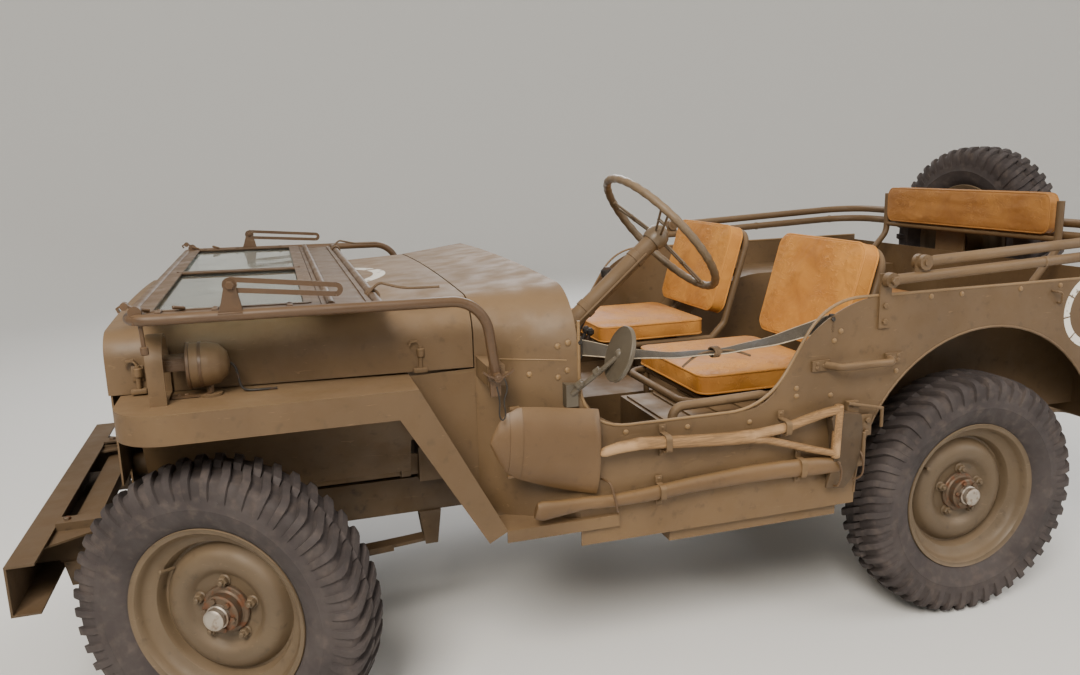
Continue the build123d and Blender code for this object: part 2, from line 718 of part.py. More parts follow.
def cowl():
    """The scuttle between bonnet and door openings: sides, shoulders, top and firewall."""
    low = COWL_LOW_Z
    solid = cowl_core(COWL_REAR_X, SEAM_X, low, 0) - cowl_core(COWL_REAR_X - 1, SEAM_X - SHEET, low - 10, SHEET)
    # the column, the gearbox tunnel and the frame rails pass through the firewall
    solid -= column_rod(COLUMN_R + 8, COLUMN_REACH)
    solid -= block((SEAM_X - 20, SEAM_X + 20), (-TUNNEL_HALF, TUNNEL_HALF), (low - 10, FLOOR_Z + TUNNEL_H))
    rail_reach = RAIL_Y + RAIL_W / 2 + SEAT_GAP
    solid -= block((SEAM_X - 20, SEAM_X + 20), (-rail_reach, rail_reach), (low - 10, RAIL_TOP + SEAT_GAP))
    return solid


def dash():
    """The instrument panel, set just inside the scuttle's rear edge."""
    x = COWL_REAR_X + 12
    panel = cowl_core(x, x + SHEET, DASH_BOTTOM, SHEET + SEAT_GAP)
    flange = block((x - 24, x), (-SIDE_Y + 12, SIDE_Y - 12), (DASH_BOTTOM, DASH_BOTTOM + SHEET))
    return panel + flange


def column_point(reach):
    """A point on the steering column's axis, this far ahead of the steering wheel's hub."""
    tilt = radians(COLUMN_TILT_DEG)
    x, y, z = WHEEL_HUB
    return (x + reach * cos(tilt), y, z - reach * sin(tilt))


def column_rod(radius, reach):
    return rod(column_point(36), column_point(reach), radius)


def side_panel(side):
    """A body side with its door cut and wheel arch, one thickness of sheet."""
    low, high = (INNER_SIDE_Y, SIDE_Y) if side > 0 else (-SIDE_Y, -INNER_SIDE_Y)
    panel = block((TAIL_X, COWL_REAR_X), (low, high), (SILL_Z, SIDE_TOP_Z))
    cut_path = FilletPolyline((COWL_REAR_X + 1, low - 1, SIDE_TOP_Z + 60), (COWL_REAR_X + 1, low - 1, DOOR_CUT_Z),
                              (st(1306), low - 1, DOOR_CUT_Z), (st(1475), low - 1, SIDE_TOP_Z),
                              (st(1700), low - 1, SIDE_TOP_Z), radius=[140, 110, 330])
    closing = Polyline(cut_path @ 1, (st(1700), low - 1, SIDE_TOP_Z + 60), cut_path @ 0)
    panel -= extrude(make_face([cut_path, closing]), SHEET + 2, dir=(0, 1, 0))
    panel -= disc_y(ARCH_X, (low + high) / 2, ARCH_Z, ARCH_R, 4 * SHEET)
    panel -= block((ARCH_X - ARCH_R, ARCH_X + ARCH_R), (low - 1, high + 1), (SILL_Z - 1, ARCH_Z))
    return panel


def floor():
    """Floor plate with the gearbox tunnel and the opening for the tank well."""
    plate = block((TAIL_X + SHEET, SEAM_X - SHEET), (-INNER_SIDE_Y, INNER_SIDE_Y), (FLOOR_Z, FLOOR_Z + SHEET))
    inset = SHEET + SEAT_GAP
    for side in (1, -1):
        # the plate narrows with the scuttle
        plate -= slab_xy([(COWL_REAR_X, side * (SIDE_Y - inset)), (COWL_REAR_X, side * (SIDE_Y + 5)),
                          (SEAM_X, side * (SIDE_Y + 5)), (SEAM_X, side * (COWL_HALF_FRONT - inset))],
                         FLOOR_Z - 5, FLOOR_Z + 10)
        # wheelhouses stand in the floor's rear corners
        plate -= block((TAIL_X - 5, ARCH_X + WHEELHOUSE_R), (side * WHEELHOUSE_INNER_Y, side * (SIDE_Y + 5)),
                       (FLOOR_Z - 5, FLOOR_Z + 10))
    tunnel_x = (TUNNEL_REAR_X, SEAM_X - SHEET)
    inside = TUNNEL_HALF - SHEET
    tunnel = block(tunnel_x, (-TUNNEL_HALF, TUNNEL_HALF), (FLOOR_Z, FLOOR_Z + TUNNEL_H))
    gap = block((tunnel_x[0] + SHEET, tunnel_x[1] + 5), (-inside, inside),
                (FLOOR_Z - 5, FLOOR_Z + TUNNEL_H - SHEET))
    # the pressed well for the tank, open at the top
    well = block(WELL_X, WELL_Y, (WELL_BOTTOM, FLOOR_Z + SHEET))
    hollow = tank_block(SHEET, WELL_BOTTOM + SHEET, TANK_TOP)
    return plate + tunnel + well - gap - hollow


def tank_block(inset, low, high):
    """A block in the tank well's outline, this far inside it."""
    return block((WELL_X[0] + inset, WELL_X[1] - inset), (WELL_Y[0] + inset, WELL_Y[1] - inset), (low, high))


def wheelhouse(side):
    """The cover over a rear wheel: round in front, boxed behind, open to the outside."""
    inner, outer = side * WHEELHOUSE_INNER_Y, side * INNER_SIDE_Y
    mid, width = (inner + outer) / 2, abs(outer - inner)
    whole = disc_y(ARCH_X, mid, ARCH_Z, WHEELHOUSE_R, width)
    whole += block((TAIL_X + SHEET, ARCH_X), (inner, outer), (FLOOR_Z, WHEELHOUSE_TOP))
    core = disc_y(ARCH_X, mid + side * SHEET, ARCH_Z, WHEELHOUSE_R - SHEET, width)
    core += block((TAIL_X + 2 * SHEET, ARCH_X), (inner + side * SHEET, outer + side * SHEET),
                  (FLOOR_Z - 5, WHEELHOUSE_TOP - SHEET))
    below = block((TAIL_X - 500, ARCH_X + 900), (inner - side * 50, outer + side * 50), (0, FLOOR_Z))
    return whole - core - below


def tail_panel():
    """The flat panel across the tail, with the spare wheel's carrier bolted behind it."""
    return block((TAIL_X, TAIL_X + SHEET), (-INNER_SIDE_Y, INNER_SIDE_Y), (TAIL_BOTTOM, SIDE_TOP_Z - 20))


def fuel_tank():
    return tank_block(SHEET + SEAT_GAP, WELL_BOTTOM + SHEET + SEAT_GAP, TANK_TOP)


def bonnet():
    outer = loft([cowl_section(BONNET_FRONT_X, BONNET_HALF_FRONT, BONNET_TOP_FRONT,
                               BONNET_SHOULDER_FRONT, BONNET_BOTTOM_FRONT),
                  cowl_section(SEAM_X + PANEL_GAP, COWL_HALF_FRONT - 1, COWL_TOP_FRONT - 1,
                               COWL_SHOULDER_FRONT, BONNET_BOTTOM_REAR)], ruled=True)
    inner = loft([cowl_section(BONNET_FRONT_X + 1, BONNET_HALF_FRONT, BONNET_TOP_FRONT,
                               BONNET_SHOULDER_FRONT, BONNET_BOTTOM_FRONT - 10, SHEET),
                  cowl_section(SEAM_X + PANEL_GAP - 1, COWL_HALF_FRONT - 1, COWL_TOP_FRONT - 1,
                               COWL_SHOULDER_FRONT, BONNET_BOTTOM_REAR - 10, SHEET)], ruled=True)
    return outer - inner


def grille():
    """The slotted front panel with its lamp holes, standing on the rails inside the bonnet's edge."""
    x = GRILLE_X
    panel = extrude(cowl_section(x, BONNET_HALF_FRONT, BONNET_TOP_FRONT, BONNET_SHOULDER_FRONT,
                                 RAIL_TOP + SEAT_GAP, SHEET + SEAT_GAP), GRILLE_T, dir=(1, 0, 0))
    for i in range(GRILLE_SLOTS):
        y = (i - (GRILLE_SLOTS - 1) / 2) * GRILLE_PITCH
        panel -= block((x - 5, x + 10), (y - SLOT_W / 2, y + SLOT_W / 2), SLOT_Z)
    for side in (1, -1):
        panel -= disc_x(x, side * LAMP_Y, LAMP_Z, LAMP_R + SEAT_GAP, 30)
        panel -= disc_x(x, side * LAMP_Y, MARKER_Z, MARKER_R, 30)
        # the lower corners stay clear of the steered tyres
        panel -= block((x - 5, x + 10), (side * GRILLE_FOOT_Y, side * (BONNET_HALF_FRONT + 10)), (RAIL_TOP, 660))
    return panel


def revolve_x(profile, x, y, z):
    """A turned solid about an X axis, from (radius, offset along X) corners."""
    face = make_face(Polyline(*[(a, r, 0) for r, a in profile], close=True))
    return Pos(x, y, z) * revolve(face, axis=Axis.X)


def head_lamps():
    """Bowl lamps and the small marker lamps under them, in the grille's holes."""
    bowl = [(0, -74), (38, -68), (60, -50), (74, -24), (LAMP_R, -16), (LAMP_R, 7), (LAMP_R - 6, 9), (0, 9)]
    pieces = []
    for side in (1, -1):
        pieces.append(revolve_x(bowl, GRILLE_X, side * LAMP_Y, LAMP_Z))
        pieces.append(disc_x(GRILLE_X - 10, side * LAMP_Y, MARKER_Z, MARKER_R - SEAT_GAP, 40))
    return pieces


def fender(side):
    """A front fender: flat top, slope and step in one plate with a turned-down lip."""
    outer, inner = FENDER_OUTER_Y, FENDER_INNER_Y
    x0, x1 = FENDER_REAR_X, FENDER_FRONT_X
    top = block((x0, x1), (inner, outer), (FENDER_TOP_Z - SHEET, FENDER_TOP_Z))
    lip = block((x0, x1), (inner, outer), (FENDER_TOP_Z - FENDER_LIP, FENDER_TOP_Z))
    solid = top + lip
    corner = [e for e in solid.edges().filter_by(Axis.Z) if e.center().X > x1 - 1 and e.center().Y > outer - 1]
    solid = fillet(corner, FENDER_CORNER_R)
    hollow = block((x0 - 5, x1 - SHEET), (inner - 5, outer - SHEET),
                   (FENDER_TOP_Z - FENDER_LIP - 5, FENDER_TOP_Z - SHEET))
    corner = [e for e in hollow.edges().filter_by(Axis.Z) if e.center().X > x1 - 5 and e.center().Y > outer - 5]
    solid -= fillet(corner, FENDER_CORNER_R - SHEET)
    # the slope down to the step, then the step's plate, each with a lip
    run, rise = x0 - STEP_FRONT_X, FENDER_TOP_Z - STEP_Z
    length = (run * run + rise * rise) ** 0.5
    nx, nz = rise / length, run / length
    t = SHEET
    solid += slab_xz([(x0, FENDER_TOP_Z), (STEP_FRONT_X, STEP_Z), (STEP_FRONT_X + t * nx, STEP_Z - t * nz),
                      (x0 + t * nx, FENDER_TOP_Z - t * nz)], inner + 60, outer)
    lip_w = 52
    solid += slab_xz([(x0, FENDER_TOP_Z), (STEP_FRONT_X, STEP_Z), (STEP_FRONT_X + lip_w * nx, STEP_Z - lip_w * nz),
                      (x0 + lip_w * nx, FENDER_TOP_Z - FENDER_LIP)], outer - t, outer)
    solid += block((STEP_REAR_X, STEP_FRONT_X + 2), (STEP_INNER_Y, outer), (STEP_Z - SHEET, STEP_Z))
    solid += block((STEP_REAR_X, STEP_FRONT_X + 2), (outer - SHEET, outer), (STEP_Z - 30, STEP_Z))
    # splash apron, leaning in from the top plate's edge down to the frame rail
    foot, foot_z = RAIL_Y + RAIL_W / 2 + 22, RAIL_TOP + 30
    apron = slab_yz([(inner, FENDER_TOP_Z), (inner + SHEET, FENDER_TOP_Z - 1), (foot + SHEET, foot_z),
                     (foot, foot_z)], st(540), FENDER_FRONT_X - 22)
    solid += apron
    # two feet tie the apron to the rail
    for foot_x in (st(420), st(-130)):
        solid += block((foot_x - 15, foot_x + 15), (RAIL_Y + 10, foot + 2), (foot_z - 16, foot_z + 4))
        solid += block((foot_x - 15, foot_x + 15), (RAIL_Y - 10, RAIL_Y + 14), (RAIL_TOP + SEAT_GAP, foot_z + 4))
    # room for the steering box, and the edge that follows the scuttle and the body side
    solid -= block((SEAM_X, st(430)), (RAIL_Y + 20, RAIL_Y + 110), (RAIL_TOP, RAIL_TOP + 130))
    solid -= block((TAIL_X, COWL_REAR_X + SEAT_GAP), (0, SIDE_Y + SEAT_GAP), (0, FENDER_TOP_Z))
    solid = clear_of_cowl(solid)
    return solid if side > 0 else mirror(solid, about=Plane.XZ)


def engine():
    """The engine as one plain block, with the radiator standing ahead of it."""
    power_unit = block((st(470), st(-60)), ENGINE_Y, (MEMBER_TOP + SEAT_GAP, 900))
    radiator = block((st(-225), st(-150)), (-250, 250), (MEMBER_TOP + SEAT_GAP, 950))
    return [power_unit, radiator]


def driveline():
    """Gearbox and transfer case in one casting, and the two prop shafts from it."""
    gearbox = block((st(760), st(470.3)), (-130, 130), (MEMBER_TOP + SEAT_GAP, 620))
    gearbox += block((st(1060), st(700)), (-100, 100), (MEMBER_TOP + SEAT_GAP, 600))
    gearbox += block((st(1060), st(850)), (-230, -60), (360, 500))
    front = rod((FRONT_AXLE_X - DIFF_NOSE - SHAFT_GAP, DIFF_Y, TYRE_R + 10),
                (st(850) + SHAFT_GAP, DIFF_Y, TRANSFER_Z), SHAFT_R)
    rear = rod((st(1060) - SHAFT_GAP, DIFF_Y, TRANSFER_Z),
               (REAR_AXLE_X + DIFF_NOSE + SHAFT_GAP, DIFF_Y, TYRE_R + 10), SHAFT_R)
    return [gearbox, front, rear]


def exhaust():
    """Down pipe, silencer and tail pipe on the right-hand side, hung from the frame rail."""
    y, z = -470, 462
    start_y = ENGINE_Y[0] - SEAT_GAP
    solid = disc_x(st(1180), y, z, SILENCER_R, 420)
    solid += bent_tube([(st(300), start_y, 600), (st(300), -215, 600), (st(300), -215, 400), (st(560), -215, 400),
                        (st(820), y, 400), (st(900), y, z - 20), (st(975), y, z - 20)], 20, [30, 60, 60, 40, 30])
    solid += bent_tube([(st(1385), y, z), (st(1480), y, z), (st(1480), -700, z - 28)], 18, [60])
    rail_face = -RAIL_Y - RAIL_W / 2 - SEAT_GAP
    for hanger_x in (st(1040), st(1320)):
        solid += block((hanger_x - 12, hanger_x + 12), (y + SILENCER_R - 8, rail_face), (z - 8, z + 8))
    return solid


# Windscreen
def screen_frame():
    """The tube frame with its lower cross tube, panel and glazing bars."""
    px, pz = SCREEN_PIVOT
    bx, bz = SCREEN_BEND
    tx, tz = SCREEN_TOP
    y = SCREEN_Y
    solid = bent_tube([(px, y, pz), (bx, y, bz), (tx, y, tz), (tx, -y, tz), (bx, -y, bz), (px, -y, pz)],
                      SCREEN_TUBE_R, [85, 45, 45, 85])
    slope = (tz - bz) / (tx - bx)

    def plane_z(x):
        return bz + (x - bx) * slope

    low_z = plane_z(SCREEN_LOW_X)
    solid += rod((SCREEN_LOW_X, -y, low_z), (SCREEN_LOW_X, y, low_z), SCREEN_TUBE_R - 1)
    # sheet panel between the cross tube and the glass
    low, high = SCREEN_LOW_X, GLASS_REAR_X - 12
    solid += slab_xz([(low, plane_z(low) - 2), (high, plane_z(high) - 2), (high, plane_z(high) + 2),
                      (low, plane_z(low) + 2)], -y, y)
    bar_h = 9
    for bar_x in (GLASS_REAR_X - 9, GLASS_FRONT_X + 9):
        solid += block((bar_x - 9, bar_x + 9), (-y, y), (plane_z(bar_x) - bar_h, plane_z(bar_x) + bar_h))
    for bar_y in (0, y - 34, -y + 34):
        width = 8 if bar_y == 0 else 14
        x0, x1 = GLASS_REAR_X - 5, GLASS_FRONT_X + 5
        z0, z1 = plane_z(x0), plane_z(x1)
        solid += slab_xz([(x0, z0 - bar_h), (x1, z1 - bar_h), (x1, z1 + bar_h), (x0, z0 + bar_h)],
                         bar_y - width, bar_y + width)
    solid -= screen_glass_block(0)
    # flattened pivot eyes
    for side in (1, -1):
        solid += disc_y(px, side * (y - 4), pz, 20, 12)
        solid -= disc_y(px, side * y, pz, 8, 60)
    return solid


def screen_glass_block(gap):
    tx, tz = SCREEN_TOP
    bx, bz = SCREEN_BEND
    slope = (tz - bz) / (tx - bx)
    x0, x1 = GLASS_REAR_X - 5 + gap, GLASS_FRONT_X + 5 - gap
    z0, z1 = bz + (x0 - bx) * slope, bz + (x1 - bx) * slope
    t = GLASS_T / 2 - gap
    return slab_xz([(x0, z0 - t), (x1, z1 - t), (x1, z1 + t), (x0, z0 + t)], -SCREEN_Y + 30 + gap, SCREEN_Y - 30 - gap)


def screen_glass():
    return screen_glass_block(0.1)


def screen_brackets():
    """Pivot stands on the scuttle's sides, each with its pin."""
    px, pz = SCREEN_PIVOT
    face = SCREEN_Y - SCREEN_TUBE_R - SEAT_GAP
    stand = block((px - 24, px + 18), (COWL_HALF_FRONT - 20, face), (pz - 26, pz + 22))
    stand = clear_of_cowl(stand) + disc_y(px, face + 12, pz, PIN_R - RUN_FIT, 26)
    return [stand, mirror(stand, about=Plane.XZ)]


# Steering wheel and column
def steering_wheel():
    tilt = radians(COLUMN_TILT_DEG)
    plane = Plane(origin=WHEEL_HUB, z_dir=(-cos(tilt), 0, sin(tilt)), x_dir=(0, 1, 0))
    reach = STEERING_R - STEERING_RIM_R
    section = Plane.XZ * (Pos(reach, 0, 0) * RegularPolygon(STEERING_RIM_R, 10))
    solid = Pos(0, 0, -14) * Cylinder(34, 36)
    for i in range(STEERING_SPOKES):
        spoke = Pos(reach / 2, 0, -3) * Rot(0, 90, 0) * Cylinder(7, reach)
        solid += Rot(0, 0, 90 + i * 360 / STEERING_SPOKES) * spoke
    solid += revolve(section, axis=Axis.Z)
    solid -= Pos(0, 0, -26) * Cylinder(14, 24)
    return plane * solid


def steering_column():
    """Column tube, the wheel's spindle, and the steering box on the left frame rail."""
    solid = column_rod(COLUMN_R, COLUMN_REACH)
    solid += rod(column_point(15), column_point(40), 14 - RUN_FIT)
    x, y, z = column_point(COLUMN_REACH)
    shaft_z = pitman_pivot_z()
    solid += block((x - 50, x + 60), (RAIL_Y - 12, y + 30), (RAIL_TOP + SEAT_GAP, z + 40))
    solid += block((PITMAN_X - 32, PITMAN_X + 32), (PITMAN_Y[1] + SEAT_GAP, RAIL_Y), (shaft_z - 30, shaft_z + 32))
    shaft = disc_y(PITMAN_X, (PITMAN_Y[0] - 6 + RAIL_Y) / 2, shaft_z, PIN_R + 2 - RUN_FIT, RAIL_Y - PITMAN_Y[0] + 6)
    return solid + shaft


# Seats
def seat_cushion(side):
    low, high = sorted((side * SEAT_IN_Y, side * SEAT_OUT_Y))
    pad = block((CUSHION_REAR_X, CUSHION_FRONT_X), (low, high), (CUSHION_TOP_Z - CUSHION_T, CUSHION_TOP_Z))
    return fillet(pad.edges().filter_by(Axis.Z), 40)


def back_corners(inset=0):
    """Corners of the leaning back pad in X and Z."""
    (x0, z0), (x1, z1) = BACK_LOW, BACK_HIGH
    length = ((x1 - x0) ** 2 + (z1 - z0) ** 2) ** 0.5
    ux, uz = (x1 - x0) / length, (z1 - z0) / length
    nx, nz = -uz, ux
    return [(x0 + ux * inset, z0 + uz * inset), (x1 - ux * inset, z1 - uz * inset),
            (x1 - ux * inset + nx * BACK_T, z1 - uz * inset + nz * BACK_T),
            (x0 + ux * inset + nx * BACK_T, z0 + uz * inset + nz * BACK_T)]


def seat_back(side):
    low, high = sorted((side * SEAT_IN_Y, side * SEAT_OUT_Y))
    return slab_xz(back_corners(), low, high)


def seat_frame(front_feet, rear_feet):
    """Tube frame of a front seat, drawn on the left: a U under the cushion and a hoop behind the back.
    The feet are the heights that the (inner, outer) legs stand on."""
    (x0, z0), (x1, z1) = BACK_LOW, BACK_HIGH
    behind = BACK_T + SEAT_TUBE_R + SEAT_GAP
    length = ((x1 - x0) ** 2 + (z1 - z0) ** 2) ** 0.5
    ux, uz = (x1 - x0) / length, (z1 - z0) / length
    nx, nz = -uz, ux
    low = (x0 + behind * nx - HOOP_TUCK * ux, z0 + behind * nz - HOOP_TUCK * uz)
    high = (x1 + behind * nx, z1 + behind * nz - 20)
    knee_x = x0 - 20
    ys = (SEAT_IN_Y + 18, SEAT_OUT_Y - 18)
    front = CUSHION_FRONT_X + 34
    solid = bent_tube([(knee_x, ys[0], SEAT_Z), (low[0], ys[0], low[1]), (high[0], ys[0], high[1]),
                       (high[0], ys[1], high[1]), (low[0], ys[1], low[1]), (knee_x, ys[1], SEAT_Z)],
                      SEAT_TUBE_R, [40, 60, 60, 40])
    solid += bent_tube([(knee_x - 6, ys[0], SEAT_Z), (front, ys[0], SEAT_Z), (front, ys[1], SEAT_Z),
                        (knee_x - 6, ys[1], SEAT_Z)], SEAT_RAIL_R, [55, 55])
    for y, front_foot, rear_foot in zip(ys, front_feet, rear_feet):
        solid += rod((SEAT_FOOT_X[0], y, SEAT_Z), (SEAT_FOOT_X[0], y, front_foot), SEAT_BAR_R)
        solid += rod((SEAT_FOOT_X[1], y, SEAT_Z), (SEAT_FOOT_X[1], y, rear_foot), SEAT_BAR_R)
    for bar_x in SEAT_FOOT_X:
        solid += rod((bar_x, ys[0], SEAT_Z), (bar_x, ys[1], SEAT_Z), SEAT_BAR_R - 1)
    return solid


def driver_seat_frame():
    """Fixed seat: its inner feet stand on the floor, its outer feet on the tank."""
    on_floor, on_tank = FLOOR_Z + SHEET, TANK_TOP + SEAT_GAP
    return seat_frame((on_floor, on_tank), (on_floor, on_tank))


def passenger_seat_frame():
    """Seat that tips forward on eyes at its front feet."""
    on_floor = FLOOR_Z + SHEET + SEAT_GAP
    px, pz = TIP_PIVOT
    solid = seat_frame((pz, pz), (on_floor, on_floor))
    for y in (SEAT_IN_Y + 18, SEAT_OUT_Y - 18):
        solid += disc_y(px, y, pz, SEAT_EYE_R, 20)
        solid -= disc_y(px, y, pz, PIN_R, 40)
    return mirror(solid, about=Plane.XZ)


def seat_hinges():
    """Floor lugs and pins under the passenger seat's front feet."""
    px, pz = TIP_PIVOT
    pieces = []
    for y in (-SEAT_IN_Y - 18, -SEAT_OUT_Y + 18):
        piece = disc_y(px, y, pz, PIN_R - RUN_FIT, 36)
        for flank in (-1, 1):
            near = y + flank * (10 + SEAT_GAP)
            far = near + flank * 6
            piece += block((px - 14, px + 14), (near, far), (FLOOR_Z + SHEET + SEAT_GAP, pz + 12))
        pieces.append(piece)
    return pieces


def bench_cushion():
    pad = block((BENCH_X[1], BENCH_X[0]), (-BENCH_HALF, BENCH_HALF), (BENCH_TOP_Z - BENCH_T, BENCH_TOP_Z))
    return fillet(pad.edges().filter_by(Axis.Z), 40)


def bench_back():
    pad = block((BENCH_BACK_X[1], BENCH_BACK_X[0]), (-BENCH_HALF, BENCH_HALF), BENCH_BACK_Z)
    return fillet(pad.edges().filter_by(Axis.X), 35)


def bench_frame():
    """Seat tube under the rear cushion, with its feet on the floor."""
    z = BENCH_TOP_Z - BENCH_T - SEAT_TUBE_R - SEAT_GAP
    x0, x1 = BENCH_X[1] + 40, BENCH_X[0] - 30
    y = BENCH_HALF - 20
    floor_z = FLOOR_Z + SHEET
    solid = bent_tube([(x0, y, floor_z), (x0, y, z), (x1, y, z), (x1, -y, z), (x0, -y, z), (x0, -y, floor_z)],
                      SEAT_TUBE_R, [30, 60, 60, 30])
    solid += rod((x0, -y, z), (x0, y, z), SEAT_TUBE_R)
    for side in (1, -1):
        solid += rod((x1 - 40, side * y, z), (x1 - 40, side * y, floor_z), SEAT_TUBE_R)
    return solid


def bench_back_frame():
    """The tube hoop that carries the rear back pad, hinged at the wheelhouses."""
    y = BENCH_HALF + SEAT_TUBE_R + 6
    px, pz = BENCH_PIVOT
    x = (BENCH_BACK_X[0] + BENCH_BACK_X[1]) / 2
    top = BENCH_BACK_Z[1] - 30
    solid = None
    for side in (1, -1):
        arm = bent_tube([(px, side * y, pz), (px, side * y, pz + 20), (x, side * y, 1040), (x, side * y, top)],
                        SEAT_TUBE_R, [15, 60])
        solid = arm if solid is None else solid + arm
        solid += disc_y(px, side * y, pz, 20, 20)
    bar_z = BENCH_BACK_Z[0] - SEAT_BAR_R - SEAT_GAP
    solid += rod((x, -y, bar_z), (x, y, bar_z), SEAT_BAR_R)
    for side in (1, -1):
        solid -= disc_y(px, side * y, pz, 8, 40)
    return solid


def bench_pins():
    """Blocks on the wheelhouses with the pins that the rear back's hoop turns on."""
    y = BENCH_HALF + SEAT_TUBE_R + 6
    px, pz = BENCH_PIVOT
    block_y = (WHEELHOUSE_INNER_Y + 4, WHEELHOUSE_INNER_Y + 26)
    stand = block((px - 16, px + 16), block_y, (WHEELHOUSE_TOP + SEAT_GAP, pz + 14))
    stand += disc_y(px, (y - 12 + block_y[1]) / 2, pz, PIN_R - RUN_FIT, block_y[1] - y + 12)
    return [stand, mirror(stand, about=Plane.XZ)]


# Hood bows
def bow(pivot, tail, y, bend):
    """One bent tube from its left pivot round the tail to its right pivot."""
    (px, pz), (tx, tz) = pivot, tail
    return bent_tube([(px, y, pz), (tx, y, tz), (tx, -y, tz), (px, -y, pz)], BOW_R, [bend, bend])


def low_bow():
    solid = bow(LOW_BOW_PIVOT, LOW_BOW_TAIL, BOW_Y, BOW_CORNER_R)
    px, pz = LOW_BOW_PIVOT
    hx, hz = HIGH_BOW_PIVOT
    for side in (1, -1):
        solid += disc_y(px, side * BOW_Y, pz, 20, 20)
        solid -= disc_y(px, side * BOW_Y, pz, 8, 60)
        # the lug that the upper bow turns on
        solid += slab_xz([(hx - 24, hz - 40), (hx + 24, hz - 40), (hx + 18, hz + 16), (hx - 18, hz + 16)],
                         side * BOW_Y - 3, side * BOW_Y + 3)
        solid += disc_y(hx, side * BOW_Y, hz, 8 - RUN_FIT, 44)
    return solid


def high_bow():
    solid = bow(HIGH_BOW_PIVOT, HIGH_BOW_TAIL, BOW_Y, BOW_CORNER_R)
    hx, hz = HIGH_BOW_PIVOT
    for side in (1, -1):
        solid += disc_y(hx, side * BOW_Y, hz, 20, 36)
        solid -= block((hx - 32, hx + 30), (side * BOW_Y - 3.5, side * BOW_Y + 3.5), (hz - 45, hz + 30))
        solid -= disc_y(hx, side * BOW_Y, hz, 8, 60)
    return solid


def bow_brackets():
    pieces = []
    px, pz = LOW_BOW_PIVOT
    for side in (1, -1):
        strap = block((px - 18, px + 18), (side * SIDE_Y, side * (SIDE_Y + 6)), (912, pz + 16))
        strap += disc_y(px, side * (SIDE_Y + 16), pz, 8 - RUN_FIT, 44)
        pieces.append(strap)
    return pieces


# Spare wheel carrier, tools and small pieces
def spare_carrier():
    """Plate on the tail panel with the boss that the spare wheel is bolted to."""
    x0 = TAIL_X - SEAT_GAP
    face_x = SPARE_X - CARRIER_REACH
    flange_x = TAIL_X - 35
    solid = block((x0 - 6, x0), (SPARE_Y - 75, SPARE_Y + 75), (800, SPARE_Z + 45))
    solid += disc_x((flange_x + x0 - 2) / 2, SPARE_Y, SPARE_Z, CARRIER_R - 4, x0 - 2 - flange_x)
    return solid + disc_x((face_x + flange_x) / 2, SPARE_Y, SPARE_Z, CARRIER_FLANGE_R, flange_x - face_x)


def tool_clamp(x, z, far_y):
    """A clamp from the body side out to a tool's handle."""
    return block((x - 14, x + 14), (SIDE_Y + SEAT_GAP, far_y), (z - 22, z + 22))


def shovel():
    """Blade flat beside the scuttle, handle running back to its D grip, with its clamps."""
    y0 = SIDE_Y + 6
    y = y0 + 20
    blade = slab_xz([(st(556), 700), (st(580), 765), (st(640), 808), (st(837), 782), (st(839), 689),
                     (st(827), 570), (st(758), 590), (st(620), 638)], y0, y0 + 4)
    handle = bent_tube([(st(790), y, 679), (st(1030), y, 674), (st(1420), y, 694)], 17, [400])
    socket = rod((st(700), y0 + 4, 690), (st(805), y, 678), 17)
    grip = bent_tube([(st(1405), y, 692), (st(1440), y, 722), (st(1515), y, 728), (st(1515), y, 638),
                      (st(1440), y, 648), (st(1406), y, 690)], 10, [20, 20, 20, 20])
    stand = clear_of_cowl(block((st(715), st(685)), (COWL_HALF_FRONT, y0 + 2), (670, 710)))
    clamps = tool_clamp(st(1010), 674, y + 19) + tool_clamp(st(1340), 690, y + 19)
    return blade + socket + handle + grip + stand + clamps


def axe():
    """Handle forward, head hanging across behind the door opening, with its clamps."""
    y = SIDE_Y + 22
    handle = bent_tube([(st(664), y, 560), (st(1000), y, 545), (st(1535), y, 552)], 16, [900])
    head = slab_xz([(st(1474), 498), (st(1532), 489), (st(1563), 538), (st(1580), 640), (st(1568), 700),
                    (st(1490), 704), (st(1502), 600), (st(1490), 560)], y - 14, y + 14)
    return handle + head + tool_clamp(st(1000), 548, y + 18) + tool_clamp(st(1400), 550, y + 18)


def side_handles():
    """The grab handles behind the door openings, each a bent bar with flattened ends on the body side."""
    low, out, z = SIDE_Y + SEAT_GAP, SIDE_Y + HANDLE_OUT, HANDLE_Z
    front, rear = HANDLE_X
    handle = bent_tube([(front, low + 5, z), (front - 20, out, z), (rear + 20, out, z), (rear, low + 5, z)],
                       HANDLE_R, [18, 18])
    for end, way in ((front, 1), (rear, -1)):
        handle += block((end - way * 12, end + way * HANDLE_END), (low, low + 6), (z - 14, z + 14))
    return [handle, mirror(handle, about=Plane.XZ)]


def rear_view_mirror():
    x, y, z = st(872), 802, 928
    head = Pos(x, y, z) * Rot(0, 70, 0) * Cylinder(66, 10)
    arm = rod((COWL_REAR_X + 20, SIDE_Y + 8, 826), (x + 6, y, z - 6), 6)
    foot = clear_of_cowl(block((COWL_REAR_X + 5, COWL_REAR_X + 35), (SIDE_Y - 40, SIDE_Y + 10), (795, 850)))
    return head + arm + foot


def blackout_lamp():
    """The covered lamp on the left fender, on its short stalk."""
    x, y, z = BLACKOUT_LAMP
    bowl = revolve_x([(0, -68), (26, -62), (44, -44), (50, -20), (50, 18), (46, 20), (0, 20)], x, y, z)
    stalk = rod((x - 20, y, FENDER_TOP_Z), (x - 20, y, z - 30), 8)
    foot = disc_z(x - 20, y, FENDER_TOP_Z + 3, 26, 6)
    return bowl + stalk + foot


